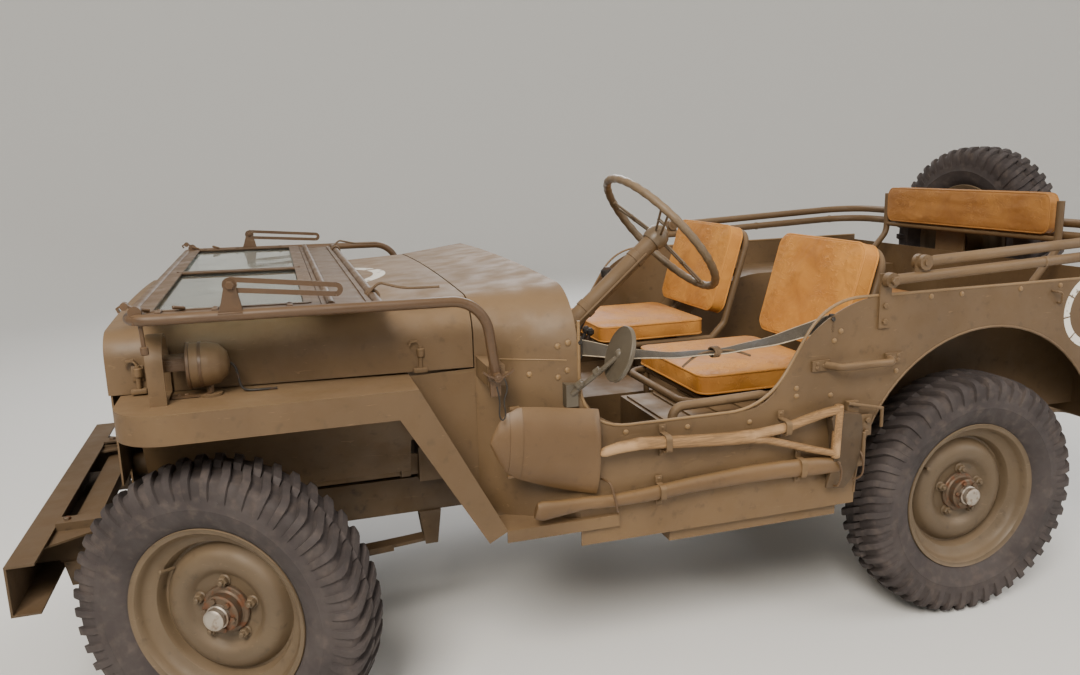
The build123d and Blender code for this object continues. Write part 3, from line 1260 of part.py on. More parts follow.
def lamp_guard():
    """The flat band ahead of the covered lamp, bent into a hoop that stands on a foot strap."""
    x, y, z = st(-LAMP_GUARD_AHEAD), BLACKOUT_LAMP[1], FENDER_TOP_Z
    outer, inner = LAMP_GUARD_HALF, LAMP_GUARD_HALF - LAMP_GUARD_T
    crown = LAMP_GUARD_TOP - outer
    hoop = disc_x(x, y, crown, outer, LAMP_GUARD_W)
    hoop += block((x - LAMP_GUARD_W / 2, x + LAMP_GUARD_W / 2), (y - outer, y + outer), (z, crown))
    hoop -= disc_x(x, y, crown, inner, 2 * LAMP_GUARD_W)
    return hoop - block((x - LAMP_GUARD_W, x + LAMP_GUARD_W), (y - inner, y + inner), (z + LAMP_GUARD_T, crown))


def knob(x, y, z, radius):
    """A round knob with flat faces at its top and bottom, turned about Z."""
    flat = radius * 0.45
    return revolve_z([(0, -radius), (flat, -radius), (radius, -flat), (radius, flat), (flat, radius), (0, radius)],
                     x, y, z)


def revolve_z(profile, x, y, z):
    """A turned solid about a Z axis, from (radius, height) corners."""
    face = make_face(Polyline(*[(r, 0, a) for r, a in profile], close=True))
    return Pos(x, y, z) * revolve(face, axis=Axis.Z)


def controls():
    """Gear and transfer levers on the tunnel, and the three pedals on the floor."""
    pieces = []
    tunnel_top = FLOOR_Z + TUNNEL_H + SEAT_GAP
    for base_x, base_y, knob_x, knob_y, knob_z, radius, knob_r in LEVERS:
        piece = disc_z(base_x, base_y, tunnel_top + 9, 2 * radius + 4, 18)
        piece += rod((base_x, base_y, tunnel_top + 12), (knob_x, knob_y, knob_z), radius)
        pieces.append(piece + knob(knob_x, knob_y, knob_z, knob_r))
    foot_z = FLOOR_Z + SHEET + SEAT_GAP
    for y in PEDAL_Y:
        piece = block((st(660), st(620)), (y - 12, y + 12), (foot_z, foot_z + 20))
        piece += rod((st(640), y, foot_z + 14), (st(730), y, 660), 8)
        pieces.append(piece + Pos(st(730), y, 664) * Rot(0, 30, 0) * Box(60, 55, 10))
    return pieces


def seat_rail():
    """The low tube beside the driver's seat, standing on the tank."""
    foot_z = TANK_TOP + SEAT_GAP
    return bent_tube([(st(1060), 688, foot_z), (st(1060), 688, 748), (st(1340), 688, 755), (st(1340), 688, foot_z)],
                     SEAT_TUBE_R, [30, 30])


def safety_strap():
    """The webbing strap across the left door opening, with its front hook plate."""
    y0, y1 = INNER_SIDE_Y - 5, INNER_SIDE_Y - SEAT_GAP
    rear_x, mid_x, front_x = st(1510), st(1140), COWL_REAR_X - SEAT_GAP
    top = ThreePointArc((rear_x, y0, 965), (mid_x, y0, 905), (front_x, y0, 950))
    low = ThreePointArc((rear_x, y0, 925), (mid_x, y0, 865), (front_x, y0, 910))
    face = make_face([top, low, Line(top @ 0, low @ 0), Line(top @ 1, low @ 1)])
    strap = extrude(face, y1 - y0, dir=(0, 1, 0))
    return strap + block((front_x - 4, front_x), (y0, SIDE_Y), (910, 950))


def tail_fittings():
    """Pintle hook, bumperettes and tail lamps behind the tail panel."""
    pieces = []
    x, z = RAIL_REAR_X - SEAT_GAP, (MEMBER_BOTTOM + MEMBER_TOP) / 2
    for side in (1, -1):
        pieces.append(bent_tube([(x, side * RAIL_Y, z), (x - 110, side * RAIL_Y, z), (x - 110, side * 560, z),
                                 (x - 25, side * 560, z)], 15, [40, 40]))
        pieces.append(disc_x(TAIL_X - 18, side * 600, 760, 40, 35.4))
    hook = block((x - 10, x), (-50, 50), (MEMBER_BOTTOM, MEMBER_TOP)) + disc_x(x - 50, 0, z, 16, 90)
    pieces.append(hook)
    return pieces


# Every node by name
NODES = {
    "frame_rails": frame_rails,
    "front_bumper": front_bumper,
    "springs": lambda: springs() + spring_hangers(),
    "front_axle": front_axle,
    "rear_axle": rear_axle,
    "knuckle_left": lambda: knuckle(1),
    "knuckle_right": lambda: knuckle(-1),
    "cowl": cowl,
    "dash": dash,
    "side_panel_left": lambda: side_panel(1),
    "side_panel_right": lambda: side_panel(-1),
    "floor": floor,
    "wheelhouses": lambda: [wheelhouse(1), wheelhouse(-1)],
    "tail_panel": tail_panel,
    "fuel_tank": fuel_tank,
    "bonnet": bonnet,
    "grille": grille,
    "lamps": lambda: head_lamps() + [blackout_lamp(), lamp_guard()],
    "fender_left": lambda: fender(1),
    "fender_right": lambda: fender(-1),
    "engine": engine,
    "driveline": driveline,
    "exhaust": exhaust,
    "screen_frame": screen_frame,
    "screen_glass": screen_glass,
    "hinge_brackets": lambda: screen_brackets() + bow_brackets() + bench_pins() + seat_hinges(),
    "steering_wheel": steering_wheel,
    "steering_column": steering_column,
    "centre_crank": centre_crank,
    "tie_rod_left": lambda: tie_rod(1),
    "tie_rod_right": lambda: tie_rod(-1),
    "pitman_arm": pitman_arm,
    "drag_link": drag_link,
    "driver_pads": lambda: [seat_cushion(1), seat_back(1)],
    "seat_frames": lambda: [driver_seat_frame(), bench_frame(), seat_rail()],
    "passenger_pads": lambda: [seat_cushion(-1), seat_back(-1)],
    "passenger_seat_frame": passenger_seat_frame,
    "bench_cushion": bench_cushion,
    "bench_back": bench_back,
    "bench_back_frame": bench_back_frame,
    "low_bow": low_bow,
    "high_bow": high_bow,
    "tools": lambda: [shovel(), axe()],
    "body_fittings": lambda: side_handles() + tail_fittings() + [spare_carrier()],
    "mirror": rear_view_mirror,
    "controls": controls,
    "safety_strap": safety_strap,
    "wheel_fl": lambda: placed_wheel("fl"),
    "wheel_fr": lambda: placed_wheel("fr"),
    "wheel_rl": lambda: placed_wheel("rl"),
    "wheel_rr": lambda: placed_wheel("rr"),
    "spare_wheel": spare_wheel,
    "tyre_fl": lambda: placed_tyre("fl"),
    "tyre_fr": lambda: placed_tyre("fr"),
    "tyre_rl": lambda: placed_tyre("rl"),
    "tyre_rr": lambda: placed_tyre("rr"),
    "spare_tyre": spare_tyre,
}

if __name__ == "__main__":
    os.makedirs("parts", exist_ok=True)
    for name, make in NODES.items():
        made = make()
        if isinstance(made, list):
            made = Compound(children=made)
        export_step(made, f"parts/{name}.step")
        print(name, round(made.volume))
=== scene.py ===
import bmesh
import bpy
import math
from mathutils import Matrix, Vector, noise
from mathutils.bvhtree import BVHTree


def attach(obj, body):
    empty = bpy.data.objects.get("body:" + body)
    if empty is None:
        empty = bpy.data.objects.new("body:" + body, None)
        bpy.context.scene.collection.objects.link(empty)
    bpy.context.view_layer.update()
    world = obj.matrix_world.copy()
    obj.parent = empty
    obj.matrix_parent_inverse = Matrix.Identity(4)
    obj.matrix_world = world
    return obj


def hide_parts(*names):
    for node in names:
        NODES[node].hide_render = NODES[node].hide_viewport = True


# The looks of an open four-wheel-drive army car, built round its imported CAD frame.
# Metres, in the frame of the CAD model: +X forward, +Y to the car's left, +Z up.
# Most positions are written in millimetres, X counted forward from the front axle.

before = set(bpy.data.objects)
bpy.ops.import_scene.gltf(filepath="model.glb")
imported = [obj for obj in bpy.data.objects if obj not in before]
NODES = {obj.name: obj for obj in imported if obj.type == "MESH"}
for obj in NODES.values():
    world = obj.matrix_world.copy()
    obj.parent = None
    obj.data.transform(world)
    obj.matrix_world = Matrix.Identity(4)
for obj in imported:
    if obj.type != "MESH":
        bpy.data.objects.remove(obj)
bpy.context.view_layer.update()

AXLE_X = 1.165
WHEELBASE = 2.032
HALF_TRACK = 0.6225
KINGPIN_Y = 0.525
TYRE_R = 0.364
TYRE_HALF = 0.0825
LOCK = math.radians(28)
# In mm: the outside of the body, and the plane in which the fittings on it lie
SIDE_Y = 730
TRIM_Y = 736
CHASSIS = "chassis"
ALONG_X, ALONG_Y, ALONG_Z = Vector((1, 0, 0)), Vector((0, 1, 0)), Vector((0, 0, 1))


def at(x, y, z):
    """A point from millimetres, with X counted from the front axle."""
    return Vector((AXLE_X + x / 1000, y / 1000, z / 1000))


def framed(origin, x, y, z):
    """The pose at this origin whose local axes are these."""
    return Matrix.Translation(origin) @ Matrix((x, y, z)).transposed().to_4x4()


def link(obj):
    bpy.context.scene.collection.objects.link(obj)
    return obj


# The camera comes first: where it stands, what it looks along, and its focal length
CAMERA_AT = at(-128, 2630, 1378)
CAMERA_YAW = math.radians(-106.8)
CAMERA_PITCH = math.radians(-11.66)
CAMERA_ROLL = math.radians(-1.6)
FOCAL_PX = 871
PHOTO_W = 1080
SENSOR = 36


def make_camera():
    """The camera that took the photograph, as worked out from the car's known sizes."""
    data = bpy.data.cameras.new("camera")
    data.sensor_width = SENSOR
    data.lens = SENSOR * FOCAL_PX / PHOTO_W
    data.clip_start = 0.05
    camera = link(bpy.data.objects.new("camera", data))
    bpy.context.scene.camera = camera
    ahead = Vector((math.cos(CAMERA_PITCH) * math.cos(CAMERA_YAW),
                    math.cos(CAMERA_PITCH) * math.sin(CAMERA_YAW), math.sin(CAMERA_PITCH)))
    right = ahead.cross(ALONG_Z).normalized()
    up = right.cross(ahead)
    c, s = math.cos(CAMERA_ROLL), math.sin(CAMERA_ROLL)
    right, up = c * right + s * up, c * up - s * right
    camera.matrix_world = framed(CAMERA_AT, right, up, -ahead)


make_camera()


# Materials
class Shader:
    """One material and short ways to add and join its nodes."""

    def __init__(self, name):
        self.mat = bpy.data.materials.new(name)
        self.mat.use_nodes = True
        self.tree = self.mat.node_tree
        self.main = self.tree.nodes["Principled BSDF"]
        self.place = self.node("ShaderNodeTexCoord").outputs["Object"]

    def node(self, kind, settings=None, **inputs):
        made = self.tree.nodes.new(kind)
        for key, value in (settings or {}).items():
            setattr(made, key, value)
        for key, value in inputs.items():
            self.feed(made.inputs[key.replace("_", " ")], value)
        return made

    def feed(self, socket, value):
        if isinstance(value, bpy.types.NodeSocket):
            self.tree.links.new(value, socket)
        else:
            socket.default_value = value

    def noise(self, scale, detail=4, stretch=(1, 1, 1), distortion=0):
        moved = self.node("ShaderNodeMapping", Vector=self.place, Scale=stretch)
        return self.node("ShaderNodeTexNoise", Vector=moved.outputs[0], Scale=scale, Detail=detail,
                         Distortion=distortion).outputs[0]

    def ramp(self, value, low, high, out_low=0.0, out_high=1.0):
        made = self.node("ShaderNodeMapRange", {"interpolation_type": "SMOOTHSTEP"}, Value=value)
        for index, number in ((1, low), (2, high), (3, out_low), (4, out_high)):
            made.inputs[index].default_value = number
        return made.outputs[0]

    def math(self, kind, a, b=0.5):
        made = self.node("ShaderNodeMath", {"operation": kind})
        self.feed(made.inputs[0], a)
        self.feed(made.inputs[1], b)
        return made.outputs[0]

    def mix(self, share, a, b):
        made = self.node("ShaderNodeMix", {"data_type": "RGBA"})
        self.feed(made.inputs[0], share)
        self.feed(made.inputs[6], a)
        self.feed(made.inputs[7], b)
        return made.outputs[2]

    def bump(self, height, strength, distance, under=None):
        made = self.node("ShaderNodeBump", Height=height, Strength=strength, Distance=distance)
        if under is not None:
            self.feed(made.inputs["Normal"], under)
        return made.outputs[0]

    def up(self):
        """How far the surface faces upwards, from 0 to 1."""
        normal = self.node("ShaderNodeNewGeometry").outputs["Normal"]
        z = self.node("ShaderNodeSeparateXYZ", Vector=normal).outputs[2]
        return self.ramp(z, 0.1, 0.95)

    def finish(self, colour, rough, normal=None, metal=0.0, level=0.5):
        self.feed(self.main.inputs["Base Color"], colour)
        self.feed(self.main.inputs["Roughness"], rough)
        self.main.inputs["Metallic"].default_value = metal
        self.main.inputs["Specular IOR Level"].default_value = level
        if normal is not None:
            self.feed(self.main.inputs["Normal"], normal)
        return self.mat


def rgb(red, green, blue):
    """A colour from the 0 to 255 numbers that a picture shows, as the shader needs it."""
    shares = [number / 255 for number in (red, green, blue)]
    return (*(c / 12.92 if c <= 0.04 else ((c + 0.055) / 1.055) ** 2.4 for c in shares), 1.0)


def scaled(colour, factor):
    """The colour made darker or lighter."""
    return (*(min(1.0, c * factor) for c in colour[:3]), 1.0)


WHITE_PAINT = rgb(214, 208, 196)


def ring_mask(shader, across, along, centre, radius, width, gaps):
    """A painted ring of segments: 1 on its paint. across and along are axis numbers."""
    parts = shader.node("ShaderNodeSeparateXYZ", Vector=shader.place).outputs
    u = shader.math("SUBTRACT", parts[across], centre[0])
    v = shader.math("SUBTRACT", parts[along], centre[1])
    squares = [shader.math("MULTIPLY", part, part) for part in (u, v)]
    reach = shader.math("SQRT", shader.math("ADD", *squares))
    off_band = shader.math("ABSOLUTE", shader.math("SUBTRACT", reach, radius))
    band = shader.math("LESS_THAN", off_band, width / 2)
    turn = shader.math("MULTIPLY", shader.math("ARCTAN2", v, u), gaps / (2 * math.pi))
    segment = shader.math("GREATER_THAN", shader.math("FRACT", shader.math("ADD", turn, 20.25)), 0.07)
    worn = shader.ramp(shader.noise(60, 6), 0.3, 0.42)
    return shader.math("MULTIPLY", shader.math("MULTIPLY", band, segment), worn)


def paint(name, base, light, dust, rough=0.62, ring=None, grime=0.5):
    """Old brushed military paint: mottled, dusty on top, scratched, with faint dents."""
    s = Shader(name)
    broad = s.noise(2.2, 5, distortion=0.6)
    fine = s.noise(38, 6)
    colour = s.mix(s.ramp(broad, 0.32, 0.72), base, light)
    colour = s.mix(s.math("MULTIPLY", s.ramp(fine, 0.56, 0.78), grime), colour, scaled(base, 0.55))
    scratch = s.ramp(s.noise(9, 8, stretch=(2.2, 9, 14), distortion=1.2), 0.65, 0.72)
    colour = s.mix(s.math("MULTIPLY", scratch, 0.22), colour, dust)
    settled = s.math("MULTIPLY", s.up(), s.ramp(s.noise(3, 7), 0.25, 0.85, 0.35, 0.6))
    colour = s.mix(settled, colour, dust)
    if ring is not None:
        colour = s.mix(ring_mask(s, *ring), colour, WHITE_PAINT)
    dents = s.bump(s.noise(3.2, 2), 0.35, 0.012)
    grain = s.bump(s.noise(420, 3), 0.12, 0.0006, dents)
    uneven = s.ramp(s.noise(14, 5), 0.3, 0.75, rough - 0.1, rough + 0.16)
    return s.finish(colour, uneven, grain, level=0.45)


def rubber(name):
    """Tyre rubber: nearly black and mottled, with dried mud in patches."""
    s = Shader(name)
    mud = s.math("MULTIPLY", s.ramp(s.noise(34, 9), 0.45, 0.8), 0.4)
    colour = s.mix(s.ramp(s.noise(6, 4), 0.3, 0.7), rgb(54, 48, 47), rgb(70, 63, 61))
    colour = s.mix(mud, colour, rgb(98, 86, 78))
    grain = s.bump(s.noise(260, 5), 0.3, 0.001)
    return s.finish(colour, s.ramp(s.noise(30, 4), 0.3, 0.7, 0.72, 0.95), grain, level=0.3)


THREAD = 0.0016


def weave(s):
    """Crossing threads along the three axes, as a height."""
    parts = s.node("ShaderNodeSeparateXYZ", Vector=s.place).outputs
    waves = [s.math("SINE", s.math("MULTIPLY", parts[i], 2 * math.pi / THREAD)) for i in range(3)]
    pairs = [s.math("MULTIPLY", waves[i], waves[k]) for i, k in ((0, 1), (1, 2), (0, 2))]
    return s.math("ADD", s.math("ADD", pairs[0], pairs[1]), pairs[2])


def canvas(name, base, worn, stain):
    """Waxed cotton duck: woven, creased, with pale fold lines, stained in patches and worn at its edges."""
    s = Shader(name)
    patch = s.noise(5.5, 6, distortion=0.8)
    colour = s.mix(s.ramp(patch, 0.3, 0.7), base, worn)
    stained = s.ramp(s.noise(16, 8, distortion=0.7), 0.5, 0.8)
    colour = s.mix(s.math("MULTIPLY", stained, 0.4), colour, stain)
    rubbed = s.ramp(s.node("ShaderNodeNewGeometry").outputs["Pointiness"], 0.5, 0.56)
    colour = s.mix(s.math("MULTIPLY", rubbed, 0.5), colour, worn)
    crease = s.noise(13, 6, stretch=(1, 1, 0.55), distortion=1.1)
    contour = s.noise(19, 3, stretch=(1.4, 0.7, 1), distortion=2.2)
    fold = s.math("ABSOLUTE", s.math("SUBTRACT", contour, 0.5))
    folded = s.math("MULTIPLY", s.ramp(fold, 0.0, 0.028, 1.0, 0.0), s.ramp(s.noise(5, 3), 0.46, 0.6))
    colour = s.mix(s.math("MULTIPLY", folded, 0.45), colour, scaled(worn, 1.45))
    creased = s.bump(s.math("ADD", crease, s.math("MULTIPLY", folded, 0.35)), 0.6, 0.007)
    woven = s.bump(weave(s), 0.12, 0.0003, creased)
    return s.finish(colour, s.ramp(patch, 0.3, 0.7, 0.55, 0.8), woven, level=0.4)


def handle_wood(name):
    """Painted ash: the grain shows through along the length, bare where hands rub it."""
    s = Shader(name)
    grain = s.noise(9, 8, stretch=(2, 34, 34), distortion=0.8)
    colour = s.mix(s.ramp(grain, 0.35, 0.68), rgb(116, 88, 56), rgb(150, 116, 78))
    bare = s.ramp(s.noise(7, 6), 0.56, 0.68)
    colour = s.mix(s.math("MULTIPLY", bare, 0.7), colour, rgb(176, 142, 104))
    uneven = s.ramp(grain, 0.3, 0.7, 0.5, 0.75)
    return s.finish(colour, uneven, s.bump(grain, 0.4, 0.001), level=0.4)


def steel(name, base, rust, metal, rough):
    """Bare or blued steel with rust in patches."""
    s = Shader(name)
    spots = s.ramp(s.noise(55, 8), 0.48, 0.66)
    colour = s.mix(s.math("MULTIPLY", spots, 0.7), base, rust)
    uneven = s.ramp(s.noise(30, 5), 0.3, 0.7, rough - 0.1, rough + 0.2)
    return s.finish(colour, uneven, s.bump(s.noise(180, 6), 0.25, 0.0008), metal=metal)


def glass(name):
    """Old flat window glass, slightly green, with dust lying on it."""
    s = Shader(name)
    dusty = s.math("MULTIPLY", s.ramp(s.noise(7, 7), 0.4, 0.75), 0.4)
    colour = s.mix(dusty, rgb(226, 236, 230), rgb(205, 206, 190))
    s.main.inputs["Transmission Weight"].default_value = 0.94
    s.main.inputs["IOR"].default_value = 1.45
    return s.finish(colour, s.ramp(s.noise(11, 7), 0.4, 0.8, 0.02, 0.2))


OLIVE, OLIVE_LIGHT, DUST = rgb(86, 66, 42), rgb(106, 83, 55), rgb(142, 115, 84)
BONNET_RING = (0, 1, (AXLE_X - 0.19, 0.0), 0.232, 0.036, 5)
SIDE_RING = (0, 2, (AXLE_X - 2.372, 0.903), 0.098, 0.022, 10)
body_paint = paint("body_paint", OLIVE, OLIVE_LIGHT, DUST)
bonnet_paint = paint("bonnet_paint", OLIVE, OLIVE_LIGHT, DUST, ring=BONNET_RING)
side_paint = paint("side_paint", OLIVE, OLIVE_LIGHT, DUST, ring=SIDE_RING)
chassis_paint = paint("chassis_paint", rgb(62, 47, 29), rgb(82, 64, 42), rgb(112, 90, 66), 0.7, grime=0.8)
wheel_paint = paint("wheel_paint", rgb(84, 69, 50), rgb(104, 87, 65), rgb(132, 112, 88), 0.58, grime=0.7)
screen_paint = paint("screen_paint", rgb(72, 52, 33), rgb(90, 67, 43), rgb(108, 84, 59), 0.46, grime=0.6)
tool_paint = paint("tool_paint", rgb(84, 62, 37), rgb(106, 80, 50), rgb(132, 104, 70), 0.5)
mirror_paint = paint("mirror_paint", rgb(70, 62, 50), rgb(86, 77, 63), rgb(112, 100, 82), 0.42)
engine_paint = paint("engine_paint", rgb(70, 68, 56), rgb(86, 82, 68), rgb(120, 108, 90), 0.5, grime=0.8)
# A paler copy of the body paint, on the rolled edges, the rivet heads and the scuttle's joint line
pale_edge_paint = paint("pale_edge_paint", rgb(110, 86, 56), rgb(136, 108, 72), rgb(160, 132, 96), 0.5, grime=0.3)
tyre_rubber = rubber("tyre_rubber")
seat_canvas = canvas("seat_canvas", rgb(176, 114, 46), rgb(204, 142, 66), rgb(140, 88, 36))
rear_canvas = canvas("rear_canvas", rgb(140, 92, 42), rgb(168, 116, 56), rgb(104, 66, 30))
webbing = canvas("webbing", rgb(48, 42, 36), rgb(74, 66, 54), rgb(34, 29, 25))
rope_fibre = canvas("rope_fibre", rgb(70, 54, 38), rgb(104, 82, 58), rgb(48, 36, 26))
selvedge = canvas("selvedge", rgb(146, 130, 108), rgb(172, 156, 132), rgb(104, 90, 72))
wood = handle_wood("handle_wood")
rusty = steel("rusty_steel", rgb(96, 80, 64), rgb(112, 66, 38), 0.5, 0.55)
bright = steel("worn_steel", rgb(168, 158, 146), rgb(112, 88, 66), 0.8, 0.38)
dark_steel = steel("dark_steel", rgb(48, 44, 40), rgb(78, 54, 36), 0.4, 0.5)
pane = glass("window_glass")
# A lens is a bright bowl behind glass: worn metal with little roughness shows the same
lens_glass = steel("lens_glass", rgb(150, 152, 146), rgb(118, 108, 92), 0.55, 0.22)
rim_plastic = paint("rim_paint", rgb(92, 76, 56), rgb(122, 102, 78), rgb(140, 118, 92), 0.42, grime=0.4)


# An edge that turns by more than this stays an edge
SHARP = math.radians(32)
WELD_REACH = 0.00002


def smooth(mesh):
    mesh.polygons.foreach_set("use_smooth", [True] * len(mesh.polygons))


def dress(material, *names):
    """Gives CAD nodes a material and shades them smooth, except across their sharp edges."""
    for name in names:
        node = NODES[name]
        node.data.materials.clear()
        node.data.materials.append(material)
        smooth(node.data)
        weld = node.modifiers.new("weld", "WELD")
        weld.merge_threshold = WELD_REACH
        split = node.modifiers.new("split", "EDGE_SPLIT")
        split.split_angle = SHARP
        split.use_edge_sharp = False
        normals = node.modifiers.new("normals", "WEIGHTED_NORMAL")
        normals.keep_sharp = True
        normals.weight = 100
        normals.thresh = 0.01


dress(body_paint, "cowl", "dash", "floor", "wheelhouses", "tail_panel", "fuel_tank", "grille", "lamps",
      "fender_left", "fender_right", "hinge_brackets", "steering_column", "seat_frames",
      "passenger_seat_frame", "bench_back_frame", "low_bow", "high_bow", "body_fittings")
dress(side_paint, "side_panel_left", "side_panel_right")
dress(bonnet_paint, "bonnet")
dress(chassis_paint, "frame_rails", "front_bumper", "springs", "front_axle", "rear_axle",
      "knuckle_left", "knuckle_right", "centre_crank", "tie_rod_left", "tie_rod_right", "pitman_arm",
      "drag_link", "driveline")
dress(engine_paint, "engine")
dress(rusty, "exhaust")
dress(screen_paint, "screen_frame")
dress(mirror_paint, "mirror")
dress(dark_steel, "controls")
dress(pane, "screen_glass")


# Mesh makers
def put(obj, material, body):
    """Links a made object, paints it and lets it ride on a CAD body."""
    link(obj)
    obj.data.materials.append(material)
    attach(obj, body)
    return obj


def mesh_of(bm, name, sharp=SHARP):
    """The mesh of a bmesh, smooth except at its sharp edges."""
    bmesh.ops.recalc_face_normals(bm, faces=bm.faces)
    mesh = bpy.data.meshes.new(name)
    bm.to_mesh(mesh)
    bm.free()
    smooth(mesh)
    mesh.set_sharp_from_angle(angle=sharp)
    return mesh


def piece(bm, name, material, body):
    """Turns a bmesh into a piece that rides on a body."""
    return put(bpy.data.objects.new(name, mesh_of(bm, name)), material, body)


def sided(name, side):
    """The name of a piece that each side of the car has."""
    return name + ("_left" if side > 0 else "_right")


def turned_to(axis):
    """A rotation that takes +Z to this direction."""
    return Vector(axis).normalized().to_track_quat("Z", "Y").to_matrix().to_4x4()


def aimed(place, axis):
    """The pose at this place whose local Z looks along the axis."""
    return Matrix.Translation(place) @ turned_to(axis)


def skin(bm, rings, closed=False, capped=True):
    """Faces from each ring of points to the next; closed joins last to first, capped fills the ends."""
    for low, high in zip(rings, rings[1:] + (rings[:1] if closed else [])):
        for i in range(len(low)):
            j = (i + 1) % len(low)
            bm.faces.new([low[i], low[j], high[j], high[i]])
    if capped:
        bm.faces.new(rings[0])
        bm.faces.new(rings[-1][::-1])


def add_slab(bm, corners, through):
    """A flat sheet with these corners, and its other face moved by this vector."""
    skin(bm, [[bm.verts.new(c) for c in corners], [bm.verts.new(c + through) for c in corners]])


def add_box(bm, centre, size, edge=0.002, turn=None):
    """A block with rounded edges; centre and size in metres."""
    matrix = Matrix.Translation(centre) @ (turn or Matrix.Identity(4)) @ Matrix.Diagonal((*size, 1))
    verts = bmesh.ops.create_cube(bm, size=1, matrix=matrix)["verts"]
    edges = list({e for v in verts for e in v.link_edges})
    edge = min(edge, min(size) * 0.4)
    bmesh.ops.bevel(bm, geom=edges, offset=edge, segments=2, affect="EDGES", profile=0.5)


def add_lathe(bm, profile, matrix=Matrix.Identity(4), segments=32):
    """A turned shape about local Z, from (radius, height) corners; a radius of 0 closes an end."""
    turns = [2 * math.pi * i / segments for i in range(segments)]
    rings = []
    for radius, height in profile:
        around = turns if radius > 0 else turns[:1]
        spots = [(radius * math.cos(t), radius * math.sin(t), height) for t in around]
        rings.append([bm.verts.new(matrix @ Vector(spot)) for spot in spots])
    for low, high in zip(rings, rings[1:]):
        for i in range(segments):
            j = (i + 1) % segments
            corners = [low[i % len(low)], low[j % len(low)], high[j % len(high)], high[i % len(high)]]
            corners = list(dict.fromkeys(corners))
            if len(corners) > 2:
                bm.faces.new(corners)


def add_rod(bm, start, end, radius, segments=12):
    """A round bar with closed, slightly rounded ends."""
    start, end = Vector(start), Vector(end)
    length = (end - start).length
    soft = min(radius * 0.25, length * 0.2)
    profile = [(0, 0), (radius - soft, 0), (radius, soft),
               (radius, length - soft), (radius - soft, length), (0, length)]
    add_lathe(bm, profile, aimed(start, end - start), segments)


def add_hex(bm, centre, axis, radius, height):
    """A hexagon head with a chamfered top; centre is the middle of its foot."""
    profile = [(0, 0), (radius, 0), (radius, height * 0.78), (radius * 0.82, height), (0, height)]
    add_lathe(bm, profile, aimed(centre, axis), 6)


def add_rivet(bm, centre, axis, radius):
    """A domed rivet or screw head."""
    rise = radius * 0.55
    dome = [(radius * math.cos(a), rise * math.sin(a)) for a in (0, 0.5, 1.0)]
    add_lathe(bm, [(radius, -0.002), *dome, (0, rise)], aimed(centre, axis), 10)


def add_disc(bm, centre, axis, radius, half, segments, top=None):
    """A round plate this far either side of its centre; its far face may have a radius of its own."""
    profile = [(0, -half), (radius, -half), (radius if top is None else top, half), (0, half)]
    add_lathe(bm, profile, aimed(centre, axis), segments)


def add_band(bm, centre, axis, inner, outer, half, flat, segments):
    """A raised band round a bar: half its foot's width, and half its flat's."""
    profile = [(inner, -half), (outer, -flat), (outer, flat), (inner, half)]
    add_lathe(bm, profile, aimed(centre, axis), segments)


def arc(x, y, z, radius, start, stop, steps):
    """Points of an arc about the Y axis, in mm and degrees."""
    turns = [math.radians(start + (stop - start) * i / steps) for i in range(steps + 1)]
    return [at(x + radius * math.cos(t), y, z + radius * math.sin(t)) for t in turns]


def rounded(points, radius, steps=6, closed=False):
    """The points with each corner turned into an arc."""
    count, made = len(points), []
    for i, corner in enumerate(points):
        if not closed and i in (0, count - 1):
            made.append(Vector(corner))
            continue
        corner = Vector(corner)
        back, ahead = Vector(points[i - 1]) - corner, Vector(points[(i + 1) % count]) - corner
        reach = min(radius, back.length * 0.49, ahead.length * 0.49)
        a, b = corner + back.normalized() * reach, corner + ahead.normalized() * reach
        for k in range(steps + 1):
            t = k / steps
            made.append(a * (1 - t) ** 2 + corner * 2 * t * (1 - t) + b * t ** 2)
    return made


def tube(name, points, radius, material, body, closed=False, kind="POLY"):
    """A round bar along points; where kind is NURBS, it bends smoothly between them."""
    curve = bpy.data.curves.new(name, "CURVE")
    curve.dimensions = "3D"
    curve.bevel_depth = radius
    curve.bevel_resolution = 3
    curve.use_fill_caps = not closed
    spline = curve.splines.new(kind)
    spline.points.add(len(points) - 1)
    for point, co in zip(spline.points, points):
        point.co = (*co, 1)
    if kind == "NURBS":
        spline.order_u = 3
        spline.use_endpoint_u = True
    spline.use_cyclic_u = closed
    return put(bpy.data.objects.new(name, curve), material, body)


def add_strip(bm, points, across, width, thick):
    """A flat bar along points; across is the direction of its width."""
    across = Vector(across).normalized()
    rows = []
    for i, p in enumerate(points):
        ahead = Vector(points[min(i + 1, len(points) - 1)]) - Vector(points[max(i - 1, 0)])
        out = ahead.cross(across).normalized()
        p = Vector(p)
        rows.append([bm.verts.new(p + across * width / 2 * a + out * thick / 2 * b)
                     for a, b in ((-1, -1), (1, -1), (1, 1), (-1, 1))])
    skin(bm, rows)


# Tyres with their bar tread
LUGS = 46
# Across one pitch: phase, whether the left bar stands, whether the right bar stands
COLUMNS = [(0.015, 0, 0), (0.06, 1, 0), (0.25, 1, 0), (0.44, 1, 0), (0.485, 0, 0),
           (0.515, 0, 0), (0.56, 0, 1), (0.75, 0, 1), (0.94, 0, 1), (0.985, 0, 0)]
CROWN = (0, 350, 0, 364, 0)
TREAD_SHARP = math.radians(38)
# Down one side: offset and radius in the groove, offset and radius on a bar, in mm, and the bar's slant
ROWS = [(10, 351, 10, 364, 0.12), (34, 350, 34, 364, 0.42), (53, 348, 54, 362, 0.72),
        (66, 344, 69, 356, 0.86), (73, 337, 77.5, 347, 0.9), (76, 326, 82, 332, 0.92),
        (77, 312, 82.5, 314, 0.92), (77, 302, 82, 303, 0.92), (78.5, 297, 79.5, 297, 0.92)]
